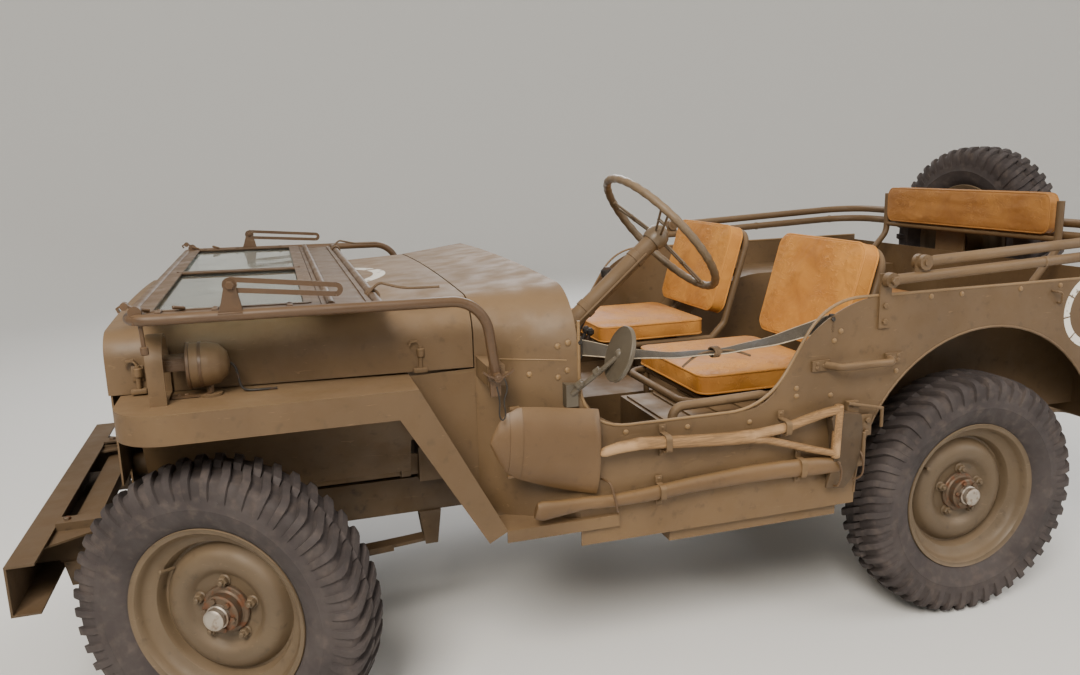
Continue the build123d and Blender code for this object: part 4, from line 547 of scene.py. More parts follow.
# Below the bars the groove and the bar are one: offset and radius
ROWS += [(off, radius, off, radius, 0.92) for off, radius in (
    (80, 290), (79, 278), (80.5, 275), (78.5, 270), (75, 256), (69, 240), (62, 228), (55, 222), (49, 206))]
SLANT = 0.8


def tyre_mesh():
    """One tyre about the Y axis, with bars down both sides of the tread."""
    bm = bmesh.new()
    count = LUGS * len(COLUMNS)

    def ring(side, row):
        off0, r0, off1, r1, slant = row
        verts = []
        for k in range(count):
            phase, left, right = COLUMNS[k % len(COLUMNS)]
            up = left if side > 0 else right if side < 0 else max(left, right)
            off, radius = (off1, r1) if up else (off0, r0)
            turn = 2 * math.pi * (k // len(COLUMNS) + phase + side * SLANT * slant) / LUGS
            spot = Vector((radius * math.cos(turn), side * off, radius * math.sin(turn)))
            verts.append(bm.verts.new(spot / 1000))
        return verts

    rings = [ring(1, row) for row in reversed(ROWS)] + [ring(0, CROWN)] + [ring(-1, row) for row in ROWS]
    skin(bm, rings, capped=False)
    mesh = mesh_of(bm, "bar_tread", TREAD_SHARP)
    mesh.materials.append(tyre_rubber)
    return mesh


def wheel_pose(x, side, steers):
    """Where a wheel drawn at the origin along Y goes, its outboard face towards +Y."""
    pivot = Vector((x, side * KINGPIN_Y, 0))
    offset = Vector((0, side * (HALF_TRACK - KINGPIN_Y), TYRE_R))
    steered = Matrix.Rotation(-LOCK if steers else 0, 4, "Z")
    outboard = Matrix.Rotation(0 if side > 0 else math.pi, 4, "Z")
    return Matrix.Translation(pivot) @ steered @ Matrix.Translation(offset) @ outboard


SPARE_POSE = Matrix.Translation((-1.67 + TYRE_HALF, -0.147, 1.01)) @ Matrix.Rotation(math.radians(90), 4, "Z")
POSES = [("fl", "wheel_fl", wheel_pose(AXLE_X, 1, True)), ("fr", "wheel_fr", wheel_pose(AXLE_X, -1, True)),
         ("rl", "wheel_rl", wheel_pose(AXLE_X - WHEELBASE, 1, False)),
         ("rr", "wheel_rr", wheel_pose(AXLE_X - WHEELBASE, -1, False)), ("spare", CHASSIS, SPARE_POSE)]
# Circles on which the wheel nuts, the hub's screws, its rivets and the valve sit
NUT_CIRCLE, SCREW_CIRCLE, RIVET_CIRCLE, VALVE_CIRCLE = 0.070, 0.036, 0.053, 0.158
VALVE_TURN = 0.6
# Half sections of the wheel, as (radius, distance outboard) in mm: pressed disc and rim, hub, drum, cap
DISC = [(44, 2), (60, 2), (84, 3), (90, 6), (97, 14), (108, 20), (122, 22), (138, 18), (149, 9), (156, -3),
        (161, -9), (167, -9), (170, -2), (171, 10), (175, 18), (186, 24), (196, 30), (202, 40), (204, 50),
        (209, 56), (217, 58), (220.5, 61), (222, 58), (221, 54), (214, 52), (207, 48), (205, 36), (199, 25),
        (188, 20), (178, 14), (175, 6), (174, -22), (198, -34), (205, -50), (215, -55), (222, -58),
        (220, -62), (214, -60), (203, -54), (196, -40), (170, -26), (166, -14), (158, -14), (152, -8),
        (145, 4), (136, 13), (122, 17), (110, 15), (100, 9), (92, 0), (84, -3), (44, -3)]
HUB = [(0, 44), (24, 44), (27, 41), (42, 40), (46, 37), (46, 18), (50, 14), (57, 13), (59, 10), (59, -20),
       (0, -20)]
DRUM = [(46, -3), (90, -4), (93, -16), (124, -20), (128, -24), (128, -58), (122, -58), (122, -28),
        (84, -22), (46, -20)]
CAP = [(28.5, 40), (28.5, 50), (25.5, 52), (25.5, 66), (22.5, 68.5), (16, 70), (0, 70.5)]


def metres(profile):
    return [(radius / 1000, height / 1000) for radius, height in profile]


def round_spots(count, circle, off, first=0):
    """Evenly turned places about the Y axis, off metres outboard; first in degrees."""
    turns = [math.radians(first + 360 / count * i) for i in range(count)]
    return [Vector((circle * math.cos(t), off, circle * math.sin(t))) for t in turns]


def build_wheels():
    """Bar-tread tyres and pressed wheels with hub, drum, hexagon nuts, cap and valve."""
    shared = tyre_mesh()
    out = ALONG_Y
    about = turned_to(out)
    for name, body, pose in POSES:
        spare = name == "spare"
        tyre = bpy.data.objects.new("bar_tyre_" + name, shared)
        tyre.matrix_world = pose
        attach(link(tyre), body)
        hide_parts("spare_tyre" if spare else "tyre_" + name)
        bm = bmesh.new()
        add_lathe(bm, metres(DISC + DISC[:1]), about, 96)
        if not spare:
            add_lathe(bm, metres(DRUM + DRUM[:1]), about, 64)
        bm.transform(pose)
        wheel = piece(bm, "pressed_wheel_" + name, wheel_paint, body)
        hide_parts("spare_wheel" if spare else "wheel_" + name)
        bm = bmesh.new()
        for foot in round_spots(5, NUT_CIRCLE, 0.003, 90):
            add_lathe(bm, [(0.015, 0), (0.015, 0.002), (0.012, 0.004), (0, 0.004)], aimed(foot, out), 20)
            add_hex(bm, foot + out * 0.003, out, 0.0125, 0.014)
            add_rod(bm, foot + out * 0.012, foot + out * 0.024, 0.0062, 10)
        valve = VALVE_CIRCLE * Vector((math.cos(VALVE_TURN), 0, math.sin(VALVE_TURN)))
        add_rod(bm, valve, valve * 1.06 + out * 0.030, 0.0042, 10)
        add_rod(bm, valve * 1.06 + out * 0.028, valve * 1.09 + out * 0.040, 0.0055, 10)
        bm.transform(pose)
        piece(bm, "wheel_nuts_" + name, wheel_paint, body)
        if spare:
            continue
        bm = bmesh.new()
        add_lathe(bm, metres(HUB), about, 48)
        for spot in round_spots(6, SCREW_CIRCLE, 0.039, 12):
            add_hex(bm, spot, out, 0.0075, 0.008)
        for spot in round_spots(10, RIVET_CIRCLE, 0.012):
            add_rivet(bm, spot, out, 0.0035)
        bm.transform(pose)
        piece(bm, "wheel_hub_" + name, rusty, body)
        cap = bmesh.new()
        add_lathe(cap, metres(CAP), about, 40)
        cap.transform(pose)
        piece(cap, "hub_cap_" + name, bright, body)


build_wheels()


# Cushions. A point is sewn down this near the pad's faces, where its surface turns outward this far
SEAM_REACH, SEAM_LEAN = 0.009, 0.3
STIFFNESS = 12
STEPS = 20
# A pad starts smaller than its size by the inset, and swells by no more than the cap
PAD_INSET = 0.006
PAD_CAP = 0.010
PAD_PRESSURE = 4
# Pads wider than this are cut coarser
LONG_PAD = 0.6
VOXEL, LONG_VOXEL = 0.0055, 0.0078


def pad_mesh(size, corner, voxel):
    """A rounded block about the origin, as the start of a pad; size is (X, Y, Z)."""
    bm = bmesh.new()
    bmesh.ops.create_cube(bm, size=1, matrix=Matrix.Diagonal((*size, 1)))
    upright = [e for e in bm.edges if abs((e.verts[0].co - e.verts[1].co).z) > size[2] * 0.9]
    bmesh.ops.bevel(bm, geom=upright, offset=corner, segments=8, affect="EDGES", profile=0.5)
    rest = [e for e in bm.edges if abs((e.verts[0].co - e.verts[1].co).z) < 1e-6
            and len({round(f.normal.z, 1) for f in e.link_faces}) > 1]
    bmesh.ops.bevel(bm, geom=rest, offset=0.008, segments=2, affect="EDGES", profile=0.5)
    mesh = bpy.data.meshes.new("pad")
    bm.to_mesh(mesh)
    bm.free()
    obj = link(bpy.data.objects.new("pad", mesh))
    remesh = obj.modifiers.new("remesh", "REMESH")
    remesh.mode = "VOXEL"
    remesh.voxel_size = voxel
    made = bpy.data.meshes.new_from_object(obj.evaluated_get(bpy.context.evaluated_depsgraph_get()))
    obj.modifiers.clear()
    obj.data = made
    return obj


def blow_up(obj, size, cap, pressure):
    """Cloth pressure swells the pad between its sewn edges; no point moves farther than the cap."""
    seam = obj.vertex_groups.new(name="seam")
    for v in obj.data.vertices:
        near_top = size[2] / 2 - abs(v.co.z) < SEAM_REACH
        if near_top and max(abs(v.normal.x), abs(v.normal.y)) > SEAM_LEAN:
            seam.add([v.index], 1.0, "REPLACE")
    settings = obj.modifiers.new("cloth", "CLOTH").settings
    settings.use_pressure = True
    settings.uniform_pressure_force = pressure
    settings.effector_weights.gravity = 0
    settings.tension_stiffness = settings.compression_stiffness = STIFFNESS
    settings.bending_stiffness = 0.4
    settings.quality = 5
    settings.vertex_group_mass = "seam"
    scene = bpy.context.scene
    for step in range(1, STEPS + 1):
        scene.frame_set(step)
    moved = obj.evaluated_get(bpy.context.evaluated_depsgraph_get()).data
    ends = [v.co.copy() for v in moved.vertices]
    obj.modifiers.clear()
    for v, end in zip(obj.data.vertices, ends):
        step = end - v.co
        if step.length > cap:
            step *= cap / step.length
        v.co += step
    scene.frame_set(1)


def sag(obj, size, amount):
    """Presses a shallow hollow where people sit or lean, with lumps in it and puckers towards the seam."""
    for v in obj.data.vertices:
        if v.co.z > 0:
            u, w = v.co.x / (size[0] / 2), v.co.y / (size[1] / 2)
            out = u * u + w * w
            v.co.z -= amount * math.exp(-3.2 * out)
            broad = noise.noise(Vector((2.6 * u, 2.9 * w, 9 * size[1])))
            puckers = abs(noise.noise(Vector((9 * u, 9 * w, 4 * size[0])))) * out
            inside = 1 - min(1, max(abs(u), abs(w))) ** 6
            v.co.z += (0.0035 * broad - 0.004 * puckers) * inside


def welt(obj, size, corner, height, radius, name, material, body, pose):
    """The piped seam round a pad, laid on the pad's own surface at this height."""
    tree = BVHTree.FromPolygons([v.co for v in obj.data.vertices], [p.vertices for p in obj.data.polygons])
    hx, hy = size[0] / 2, size[1] / 2
    outline = rounded([(hx, hy, 0), (-hx, hy, 0), (-hx, -hy, 0), (hx, -hy, 0)], corner, 8, closed=True)
    dense = []
    for a, b in zip(outline, outline[1:] + outline[:1]):
        steps = max(1, int((b - a).length / 0.02))
        dense += [a.lerp(b, i / steps) for i in range(steps)]
    points = []
    for p in dense:
        start = Vector((p.x * 1.4, p.y * 1.4, height))
        towards = Vector((p.x * 0.3, p.y * 0.3, height)) - start
        found = tree.ray_cast(start, towards.normalized())[0]
        if found is not None:
            points.append(pose @ found)
    return tube(name, points, radius, material, body, closed=True)


# Sizes of the pads: along, across and through
FRONT_PAD = (0.412, 0.440, 0.072)
BACK_PAD = (0.330, 0.440, 0.068)
BENCH_PAD = (0.390, 0.796, 0.080)
REAR_BACK = (0.144, 0.796, 0.056)
SEAT_Y = 372
# X and Z of the foot and the top of a front seat's back, on its front face
BACK_FOOT, BACK_TOP = (-1606, 812), (-1696, 1130)


def laid(x, y, z):
    """The pose of a flat seat pad: local Z up."""
    return Matrix.Translation(at(x, y, z))


def leaning(low, high, size, y):
    """The pose of a back pad whose front face runs from low to high, in X and Z: local Z faces forward."""
    foot, top = at(low[0], y, low[1]), at(high[0], y, high[1])
    along = (top - foot).normalized()
    out = Vector((along.z, 0, -along.x))
    return framed((foot + top) / 2 - out * size[2] / 2, along, out.cross(along), out)


# Name, body, pose, size, corner radius, depth of the hollow, material, and the CAD node it stands for
PADS = []
for flank, who, seat in ((1, "driver", CHASSIS), (-1, "passenger", "passenger_seat")):
    PADS += [
        (who + "_seat_pad", seat, laid(-1394, flank * SEAT_Y, 764), FRONT_PAD, 0.040, 0.006,
         seat_canvas, who + "_pads"),
        (who + "_back_pad", seat, leaning(BACK_FOOT, BACK_TOP, BACK_PAD, flank * SEAT_Y), BACK_PAD,
         0.050, 0.005, seat_canvas, who + "_pads")]
PADS += [
    ("bench_pad", CHASSIS, laid(-2325, 0, 790), BENCH_PAD, 0.040, 0.006, rear_canvas, "bench_cushion"),
    ("rear_back_pad", "rear_seat_back", leaning((-2532, 1082), (-2532, 1226), REAR_BACK, 0), REAR_BACK,
     0.035, 0.002, rear_canvas, "bench_back")]


def build_pads():
    """Every pad: one simulated mesh for each size, copied to its places."""
    shapes = {}
    for name, body, pose, size, corner, amount, material, node in PADS:
        if size not in shapes:
            start = tuple(v - 2 * PAD_INSET for v in size)
            made = pad_mesh(start, corner - PAD_INSET, VOXEL if size[1] < LONG_PAD else LONG_VOXEL)
            blow_up(made, start, PAD_CAP, PAD_PRESSURE)
            sag(made, size, amount)
            shapes[size] = made
        pad = bpy.data.objects.new(name, shapes[size].data.copy())
        finer = pad.modifiers.new("smooth", "SUBSURF")
        finer.levels = finer.render_levels = 1
        smooth(pad.data)
        pad.matrix_world = pose
        put(pad, material, body)
        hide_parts(node)
        level = size[2] / 2 - PAD_INSET - 0.006
        for side, word in ((1, "face"), (-1, "rear")):
            welt(pad, size, corner, side * level, 0.0032, name + "_welt_" + word, material, body, pose)
    for made in shapes.values():
        bpy.data.objects.remove(made)


build_pads()


# Body trim
def cowl_face(x):
    """How far out the scuttle's side stands at this X, in mm."""
    return SIDE_Y - 120 * (x + 795) / (-570 + 795)


RIVETS_SIDE = [(-1082, 706), (-1258, 698), (-1349, 698), (-1393, 773), (-1394, 752), (-1502, 890),
               (-1521, 914), (-1497, 744), (-915, 712), (-1700, 790), (-2500, 960), (-2500, 880),
               (-2560, 700), (-2580, 620), (-2240, 985), (-1800, 985), (-1900, 985), (-2100, 985),
               (-2400, 985)]
RIVETS_COWL = [(-772, 822), (-774, 947), (-752, 938), (-752, 862), (-757, 700), (-772, 880), (-690, 868),
               (-640, 868)]


def build_rivets():
    """Rivet heads on the body sides, the scuttle's sides and the tail."""
    bm = bmesh.new()
    for side in (1, -1):
        for x, z in RIVETS_SIDE:
            add_rivet(bm, at(x, side * SIDE_Y, z), (0, side, 0), 0.0075)
        for x, z in RIVETS_COWL:
            add_rivet(bm, at(x, side * cowl_face(x), z), (0, side, 0), 0.0075)
    for y in range(-640, 641, 160):
        for z in (955, 560):
            add_rivet(bm, at(-2642, y, z), (-1, 0, 0), 0.007)
    piece(bm, "rivets", pale_edge_paint, CHASSIS)


build_rivets()


# The door opening's edge in X and Z, with the radius of each corner in metres, and where it ends
BODY_TOP, SILL = 1000, 730
DOOR = [(-797, BODY_TOP), (-797, SILL), (-1306, SILL), (-1475, BODY_TOP), (-1700, BODY_TOP)]
DOOR_RADII = [0.140, 0.110, 0.330]
TAIL_X = -2638
ARCH_X, ARCH_Z, ARCH_R = -2007, 462, 424


def build_edges():
    """The rolled edges of each side: the door opening with the body's top, and the rear wheel arch."""
    for side in (1, -1):
        line = [at(x, side * 728.5, z) for x, z in DOOR]
        points = line[:1]
        for i, radius in enumerate(DOOR_RADII):
            points += rounded(line[i:i + 3], radius, 10)[1:-1]
        points += [at(TAIL_X, side * 728.5, BODY_TOP)]
        tube(sided("door_edge", side), points, 0.0042, pale_edge_paint, CHASSIS)
    for side in (1, -1):
        points = arc(ARCH_X, side * 729.5, ARCH_Z, ARCH_R, 0, 180, 36)
        tube(sided("arch_edge", side), points, 0.0035, body_paint, CHASSIS)


build_edges()


def screen_height(x):
    """The folded windscreen's plane at this X."""
    return 1069 + (x + 568) * (1079 - 1069) / (168 + 568)


def on_screen(x, y, rise):
    """A point this far above the folded windscreen's plane."""
    return at(x, y, screen_height(x) + rise)


# Slotted adjusting arms: side, foot from and to, top X and Z, end X and Z of the arm
ARMS = [(1, -6, -56, -34, 1140, -246, 1116), (-1, -18, -68, -46, 1132, -280, 1112)]
ARM_Y = 744
# Each side of an arm's slot: how far from its middle, and how wide, in mm and metres
SLOT_SIDE, SLOT_STRIP = 11, 0.0105


def build_arms():
    """A pressed stand on each side tube, and the slotted arm that is pinned to its top."""
    bm = bmesh.new()
    for side, foot_a, foot_b, top_x, top_z, end_x, end_z in ARMS:
        y = side * ARM_Y
        base = screen_height(foot_b) + 6
        for off in (-8, 8):
            near = y + off - 1.25
            outline = [at(foot_a, near, base), at(foot_a - 8, near, base + 22),
                       *arc(top_x, near, top_z, 11, 0, 180, 8),
                       at(foot_b + 4, near, base + 22), at(foot_b, near, base)]
            add_slab(bm, outline, ALONG_Y * 0.0025)
        add_box(bm, at((foot_a + foot_b) / 2, y, base), ((foot_a - foot_b) / 1000, 0.024, 0.005), 0.0015)
        add_rod(bm, at(top_x, side * 728, top_z), at(top_x, side * 760, top_z), 0.006, 12)
        add_hex(bm, at(top_x, side * 755, top_z), (0, side, 0), 0.0095, 0.006)
        for rise in (SLOT_SIDE, -SLOT_SIDE):
            slot_side = [at(top_x, y, top_z + rise), at(end_x, y, end_z + rise * 0.9)]
            add_strip(bm, slot_side, ALONG_Y, 0.005, SLOT_STRIP)
        add_strip(bm, arc(end_x, y, end_z, 10, 90, 270, 10), ALONG_Y, 0.005, SLOT_STRIP)
        add_disc(bm, at(top_x, y, top_z), ALONG_Y, 0.015, 0.003, 24)
    piece(bm, "adjusting_arms", screen_paint, "windscreen")


def build_catches():
    """The clamp hook at each far corner of the windscreen, its hanging bolt, and the pivots' wing nuts."""
    bm = bmesh.new()
    for side in (1, -1):
        y = side * 728
        for x, z, radius in ((152, 1094, 0.013), (170, 1108, 0.008)):
            add_disc(bm, at(x, y, z), ALONG_Y, radius, 0.009, 16)
        hook = [at(x, y, z) for x, z in ((150, 1100), (172, 1112), (184, 1104), (180, 1096))]
        add_strip(bm, hook, ALONG_Y, 0.014, 0.005)
        add_rod(bm, at(146, y, 1088), at(143, y, 1006), 0.0045, 8)
        add_rod(bm, at(143, y, 1022), at(143, y, 1004), 0.0085, 10)
        pivot = at(-590, side * 760, 890)
        add_rod(bm, at(-590, side * 742, 890), at(-590, side * 768, 890), 0.006, 10)
        add_disc(bm, pivot, ALONG_Y, 0.012, 0.006, 16, top=0.010)
        for way in (0.001, -0.001):
            wing = [pivot + Vector((way * reach, side * off, rise)) for reach, off, rise in (
                (8, 0, 0), (26, 0.004, 0.010), (36, 0.006, 0.018))]
            add_strip(bm, wing, ALONG_Y, 0.010, 0.004)
        add_box(bm, at(-588, side * 739, 868), (0.026, 0.010, 0.054), 0.003)
    piece(bm, "screen_catches", screen_paint, "windscreen")


def build_panes():
    """The inner frame of each pane, the clips that hold it, and the panel's cross bar."""
    bm = bmesh.new()
    inner, outer = 12, 694
    for side in (1, -1):
        for y in (side * inner, side * outer):
            add_strip(bm, [on_screen(-190, y, 9), on_screen(134, y, 9)], ALONG_Y, 0.014, 0.004)
        for x in (-188, 132):
            ends = [on_screen(x, side * y, 9) for y in (inner, outer)]
            add_strip(bm, ends, ALONG_X, 0.016, 0.004)
        for x in (-150, 0, 110):
            add_box(bm, on_screen(x, side * 716, 12), (0.012, 0.040, 0.003), 0.001)
            add_rivet(bm, on_screen(x, side * 704, 13), ALONG_Z, 0.0045)
        for x in (60, 128):
            add_rod(bm, on_screen(x, side * 700, 14), at(x + 22, side * 716, screen_height(x) + 20), 0.004, 8)
    add_rod(bm, on_screen(-236, -722, 6), on_screen(-236, 722, 6), 0.009, 12)
    for x in (-318, -222):
        add_strip(bm, [on_screen(x, -700, 4), on_screen(x, 700, 4)], ALONG_X, 0.010, 0.003)
    piece(bm, "pane_frames", screen_paint, "windscreen")


# The rope's loose end, and the wire loop with its ends hanging below the pivot
LASHING_END = [(-352, 600, 1106), (-372, 612, 1100), (-410, 620, 1090), (-450, 614, 1088), (-492, 618, 1088)]
PIVOT_WIRE = [(-604, 764, 888), (-612, 770, 866), (-598, 768, 838), (-606, 764, 800), (-596, 763, 786),
              (-588, 764, 802), (-592, 768, 840), (-584, 770, 872)]


def build_lashings():
    """Rope wound round the cross tube, with a loose end, and a wire loop below each pivot."""
    for side in (1, -1):
        points = []
        for k in range(33):
            turn = 2 * math.pi * k / 8
            off = Vector((math.cos(turn), 0, math.sin(turn))) * 0.016
            points.append(on_screen(-338, side * (566 + k * 0.9), 0) + off)
        points += [at(x, side * y, z) for x, y, z in LASHING_END]
        tube(sided("lashing", side), points, 0.0032, rope_fibre, "windscreen", kind="NURBS")
        drop = [at(x, side * y, z) for x, y, z in PIVOT_WIRE]
        tube(sided("pivot_wire", side), drop, 0.0018, dark_steel, "windscreen", kind="NURBS")


build_arms()
build_catches()
build_panes()
build_lashings()


FENDER_Z = 880
HOOD_DEEP = 0.052
LAMP_CABLE = [(-12, 600, 946), (-22, 600, 940), (-26, 600, 914), (-30, 602, 888), (-42, 604, FENDER_Z),
              (-70, 606, 879), (-108, 606, 879)]


def build_lamp_trim():
    """The covered lamp's rim bands, slit hood, foot strap and cable, and the guard hoop's bolts."""
    bm = bmesh.new()
    x, y, z = 55, 600, 948
    for off, radius in ((19, 0.0525), (-6, 0.0512)):
        add_band(bm, at(x + off, y, z), ALONG_X, radius - 0.003, radius, 0.004, 0.003, 48)
    hood = [at(x + 20, y + across, z + up) for across, up in ((-30, -4), (-30, 22), (30, 22), (30, -4))]
    hood = rounded(hood, 0.012, 4)
    for a, b in zip(hood, hood[1:]):
        size = (HOOD_DEEP, *(max(abs(reach), 0.003) + 0.001 for reach in (a - b).yz))
        add_box(bm, (a + b + ALONG_X * HOOD_DEEP) / 2, size, 0.0005)
    strap = [at(x + off, y, rise) for off, rise in ((-20, 898), (-24, 888), (-8, FENDER_Z), (60, FENDER_Z))]
    add_strip(bm, rounded(strap, 0.012, 5), ALONG_Y, 0.030, 0.004)
    for bolt_x, bolt_y in ((x + 46, y), (x + 30, y), (138, y + 30), (138, y - 30)):
        add_hex(bm, at(bolt_x, bolt_y, FENDER_Z), ALONG_Z, 0.0065, 0.005)
    piece(bm, "lamp_trim", screen_paint, CHASSIS)
    tube("lamp_cable", [at(*spot) for spot in LAMP_CABLE], 0.003, dark_steel, CHASSIS, kind="NURBS")


build_lamp_trim()


MIRROR_RIM = [(65.5, -5.5), (67.2, -4), (67.2, 4), (65.5, 5.8), (63.5, 5.6), (63.5, 4.5), (65.5, 4),
              (65.5, -5.5)]


def build_mirror_trim():
    """The mirror's rolled rim, its ball joint and the clamp of its arm."""
    bm = bmesh.new()
    pose = Matrix.Translation(at(-872, 802, 928)) @ Matrix.Rotation(math.radians(70), 4, "Y")
    add_lathe(bm, metres(MIRROR_RIM), pose, 64)
    add_lathe(bm, [(0, 0.0048), (0.012, 0.005), (0.010, 0.008), (0.006, 0.011), (0, 0.012)], pose, 24)
    foot, top = at(-758, 738, 826), at(-866, 802, 922)
    way = (top - foot).normalized()
    for t in (0.28, 0.62):
        spot = foot.lerp(top, t)
        add_rod(bm, spot - way * 0.010, spot + way * 0.010, 0.0095, 14)
        add_hex(bm, spot + Vector((0, 0.009, 0.004)), (0, 1, 0), 0.006, 0.006)
    piece(bm, "mirror_trim", mirror_paint, CHASSIS)


build_mirror_trim()


LENS = [(0, 12.5), (30, 11), (52, 7.5), (66, 2.5), (66, -1), (0, -1)]
LENS_RIM = [(66, -2), (78, -2), (78.5, 2), (74, 5.5), (68, 5.5), (66, 2), (66, -2)]


def build_lenses():
    """Domed lenses and their rims in front of the grille's lamps."""
    bm = bmesh.new()
    rims = bmesh.new()
    grille = NODES["grille"]
    face = grille.matrix_world @ max((v.co for v in grille.data.vertices), key=lambda c: c.x)
    for side in (1, -1):
        pose = aimed((face.x + 0.0065, side * 0.345, 0.795), ALONG_X)
        add_lathe(bm, metres(LENS), pose, 64)
        add_lathe(rims, metres(LENS_RIM), pose, 64)
    piece(bm, "lamp_lenses", lens_glass, CHASSIS)
    piece(rims, "lamp_rims", body_paint, CHASSIS)


build_lenses()


# X and Z of the rivets at the ends of the side handle
HANDLE_RIVETS = [(-1450, 834), (-1450, 822), (-1470, 828), (-1700, 834), (-1700, 822), (-1684, 828)]
STAPLE = [(-2211, 731, 971), (-2211, 744, 971), (-2236, 744, 966), (-2236, 744, 936), (-2236, 731, 936)]
# The apron leans, so the foot and the head of a louvre are given in Y and Z
LOUVRES = (-192, -230, -269)
LOUVRE_LOW, LOUVRE_HIGH = (388, 612), (428, 684)


def add_latch(bm, x, y):
    """A bonnet latch: an upright hook rod on a fender bracket, with its catch plate."""
    add_box(bm, at(x, y, 886), (0.034, 0.016, 0.012), 0.003)
    add_rod(bm, at(x, y, 884), at(x - 2, y, 946), 0.0055, 10)
    add_rod(bm, at(x - 2, y, 918), at(x - 2, y, 940), 0.0095, 12)
    hook = [at(x + off, y, z) for off, z in ((-2, 946), (6, 958), (20, 957), (26, 948))]
    add_strip(bm, hook, ALONG_Y, 0.011, 0.0045)
    add_box(bm, at(x, y - math.copysign(7, y), 926), (0.026, 0.004, 0.036), 0.0015)


def build_side_details():
    """Handle rivets, bow strap bolts, a staple, bonnet latches, apron louvres, and the sheets beside them."""
    bm = bmesh.new()
    for side in (1, -1):
        out = (0, side, 0)
        for x, z in HANDLE_RIVETS:
            add_rivet(bm, at(x, side * TRIM_Y, z), out, 0.006)
        for z in (930, 972):
            add_hex(bm, at(-1650, side * TRIM_Y, z), out, 0.008, 0.005)
        wire = rounded([at(x, side * y, z) for x, y, z in STAPLE], 0.008, 4)
        for a, b in zip(wire, wire[1:]):
            add_rod(bm, a, b, 0.0035, 8)
        for x, y in ((190, 541), (-440, 596)):
            add_latch(bm, x, side * y)
        for x in LOUVRES:
            low, high = (at(x, side * y, z) for y, z in (LOUVRE_LOW, LOUVRE_HIGH))
            lean = turned_to(high - low)
            for k in range(5):
                add_box(bm, low.lerp(high, (k + 0.5) / 5), (0.022, 0.012, 0.022), 0.003, lean)
        # the sheet that carries the scuttle's side forward under the bonnet
        sheet = [at(x, side * y, z) for x, y, z in ((-571, 608, 880), (-414, 594, 873), (-571, 608, 566))]
        add_slab(bm, sheet, ALONG_Y * side * -0.002)
        # the flange that closes the gap between the apron's foot and the rail
        add_strip(bm, [at(x, side * 376, 574) for x in (205, -534)], (0, side * 0.25, 1), 0.066, 0.002)
    piece(bm, "side_details", body_paint, CHASSIS)
    # joint line between the scuttle's top and side
    for side in (1, -1):
        line = [at(x, side * (cowl_face(x) + 0.6), 905) for x in (-600, -680, -770)]
        tube(sided("cowl_joint", side), line, 0.0016, pale_edge_paint, CHASSIS)


build_side_details()


def build_bumper_trim():
    """Bolt heads and gusset bolts at the front."""
    bm = bmesh.new()
    for side in (1, -1):
        for y, z in ((300, 490), (300, 430), (360, 490), (360, 430)):
            add_hex(bm, at(505, side * y, z), ALONG_X, 0.009, 0.007)
        for x in (330, 420):
            add_hex(bm, at(x, side * 338, 530), ALONG_Z, 0.009, 0.007)
    piece(bm, "bumper_bolts", rusty, CHASSIS)


build_bumper_trim()


def build_tank_slats():
    """The slatted cover on the tank beside and under the driver's seat."""
    bm = bmesh.new()
    for x in range(-1090, -1530, -80):
        add_box(bm, at(x, 530, 703), (0.068, 0.268, 0.006), 0.002)
    piece(bm, "tank_slats", body_paint, CHASSIS)


build_tank_slats()


# The steering wheel's middle and lean, the rim with its finger grips, and half sections in mm
WHEEL_AT = at(-1173, 370, 1160)
WHEEL_TILT = math.radians(41)
RIM_R, GRIP_R, GRIP_DEEP, GRIPS = 0.207, 0.0112, 0.0006, 36
WHEEL_HUB = [(14, -38), (30, -38), (33, -30), (34, -8), (30, 3), (26, 4), (0, 4), (0, -14), (14, -14),
             (14, -38)]
HORN_BUTTON = [(0, 3), (24, 3), (24, 8), (20, 15), (10, 18), (0, 18.5)]


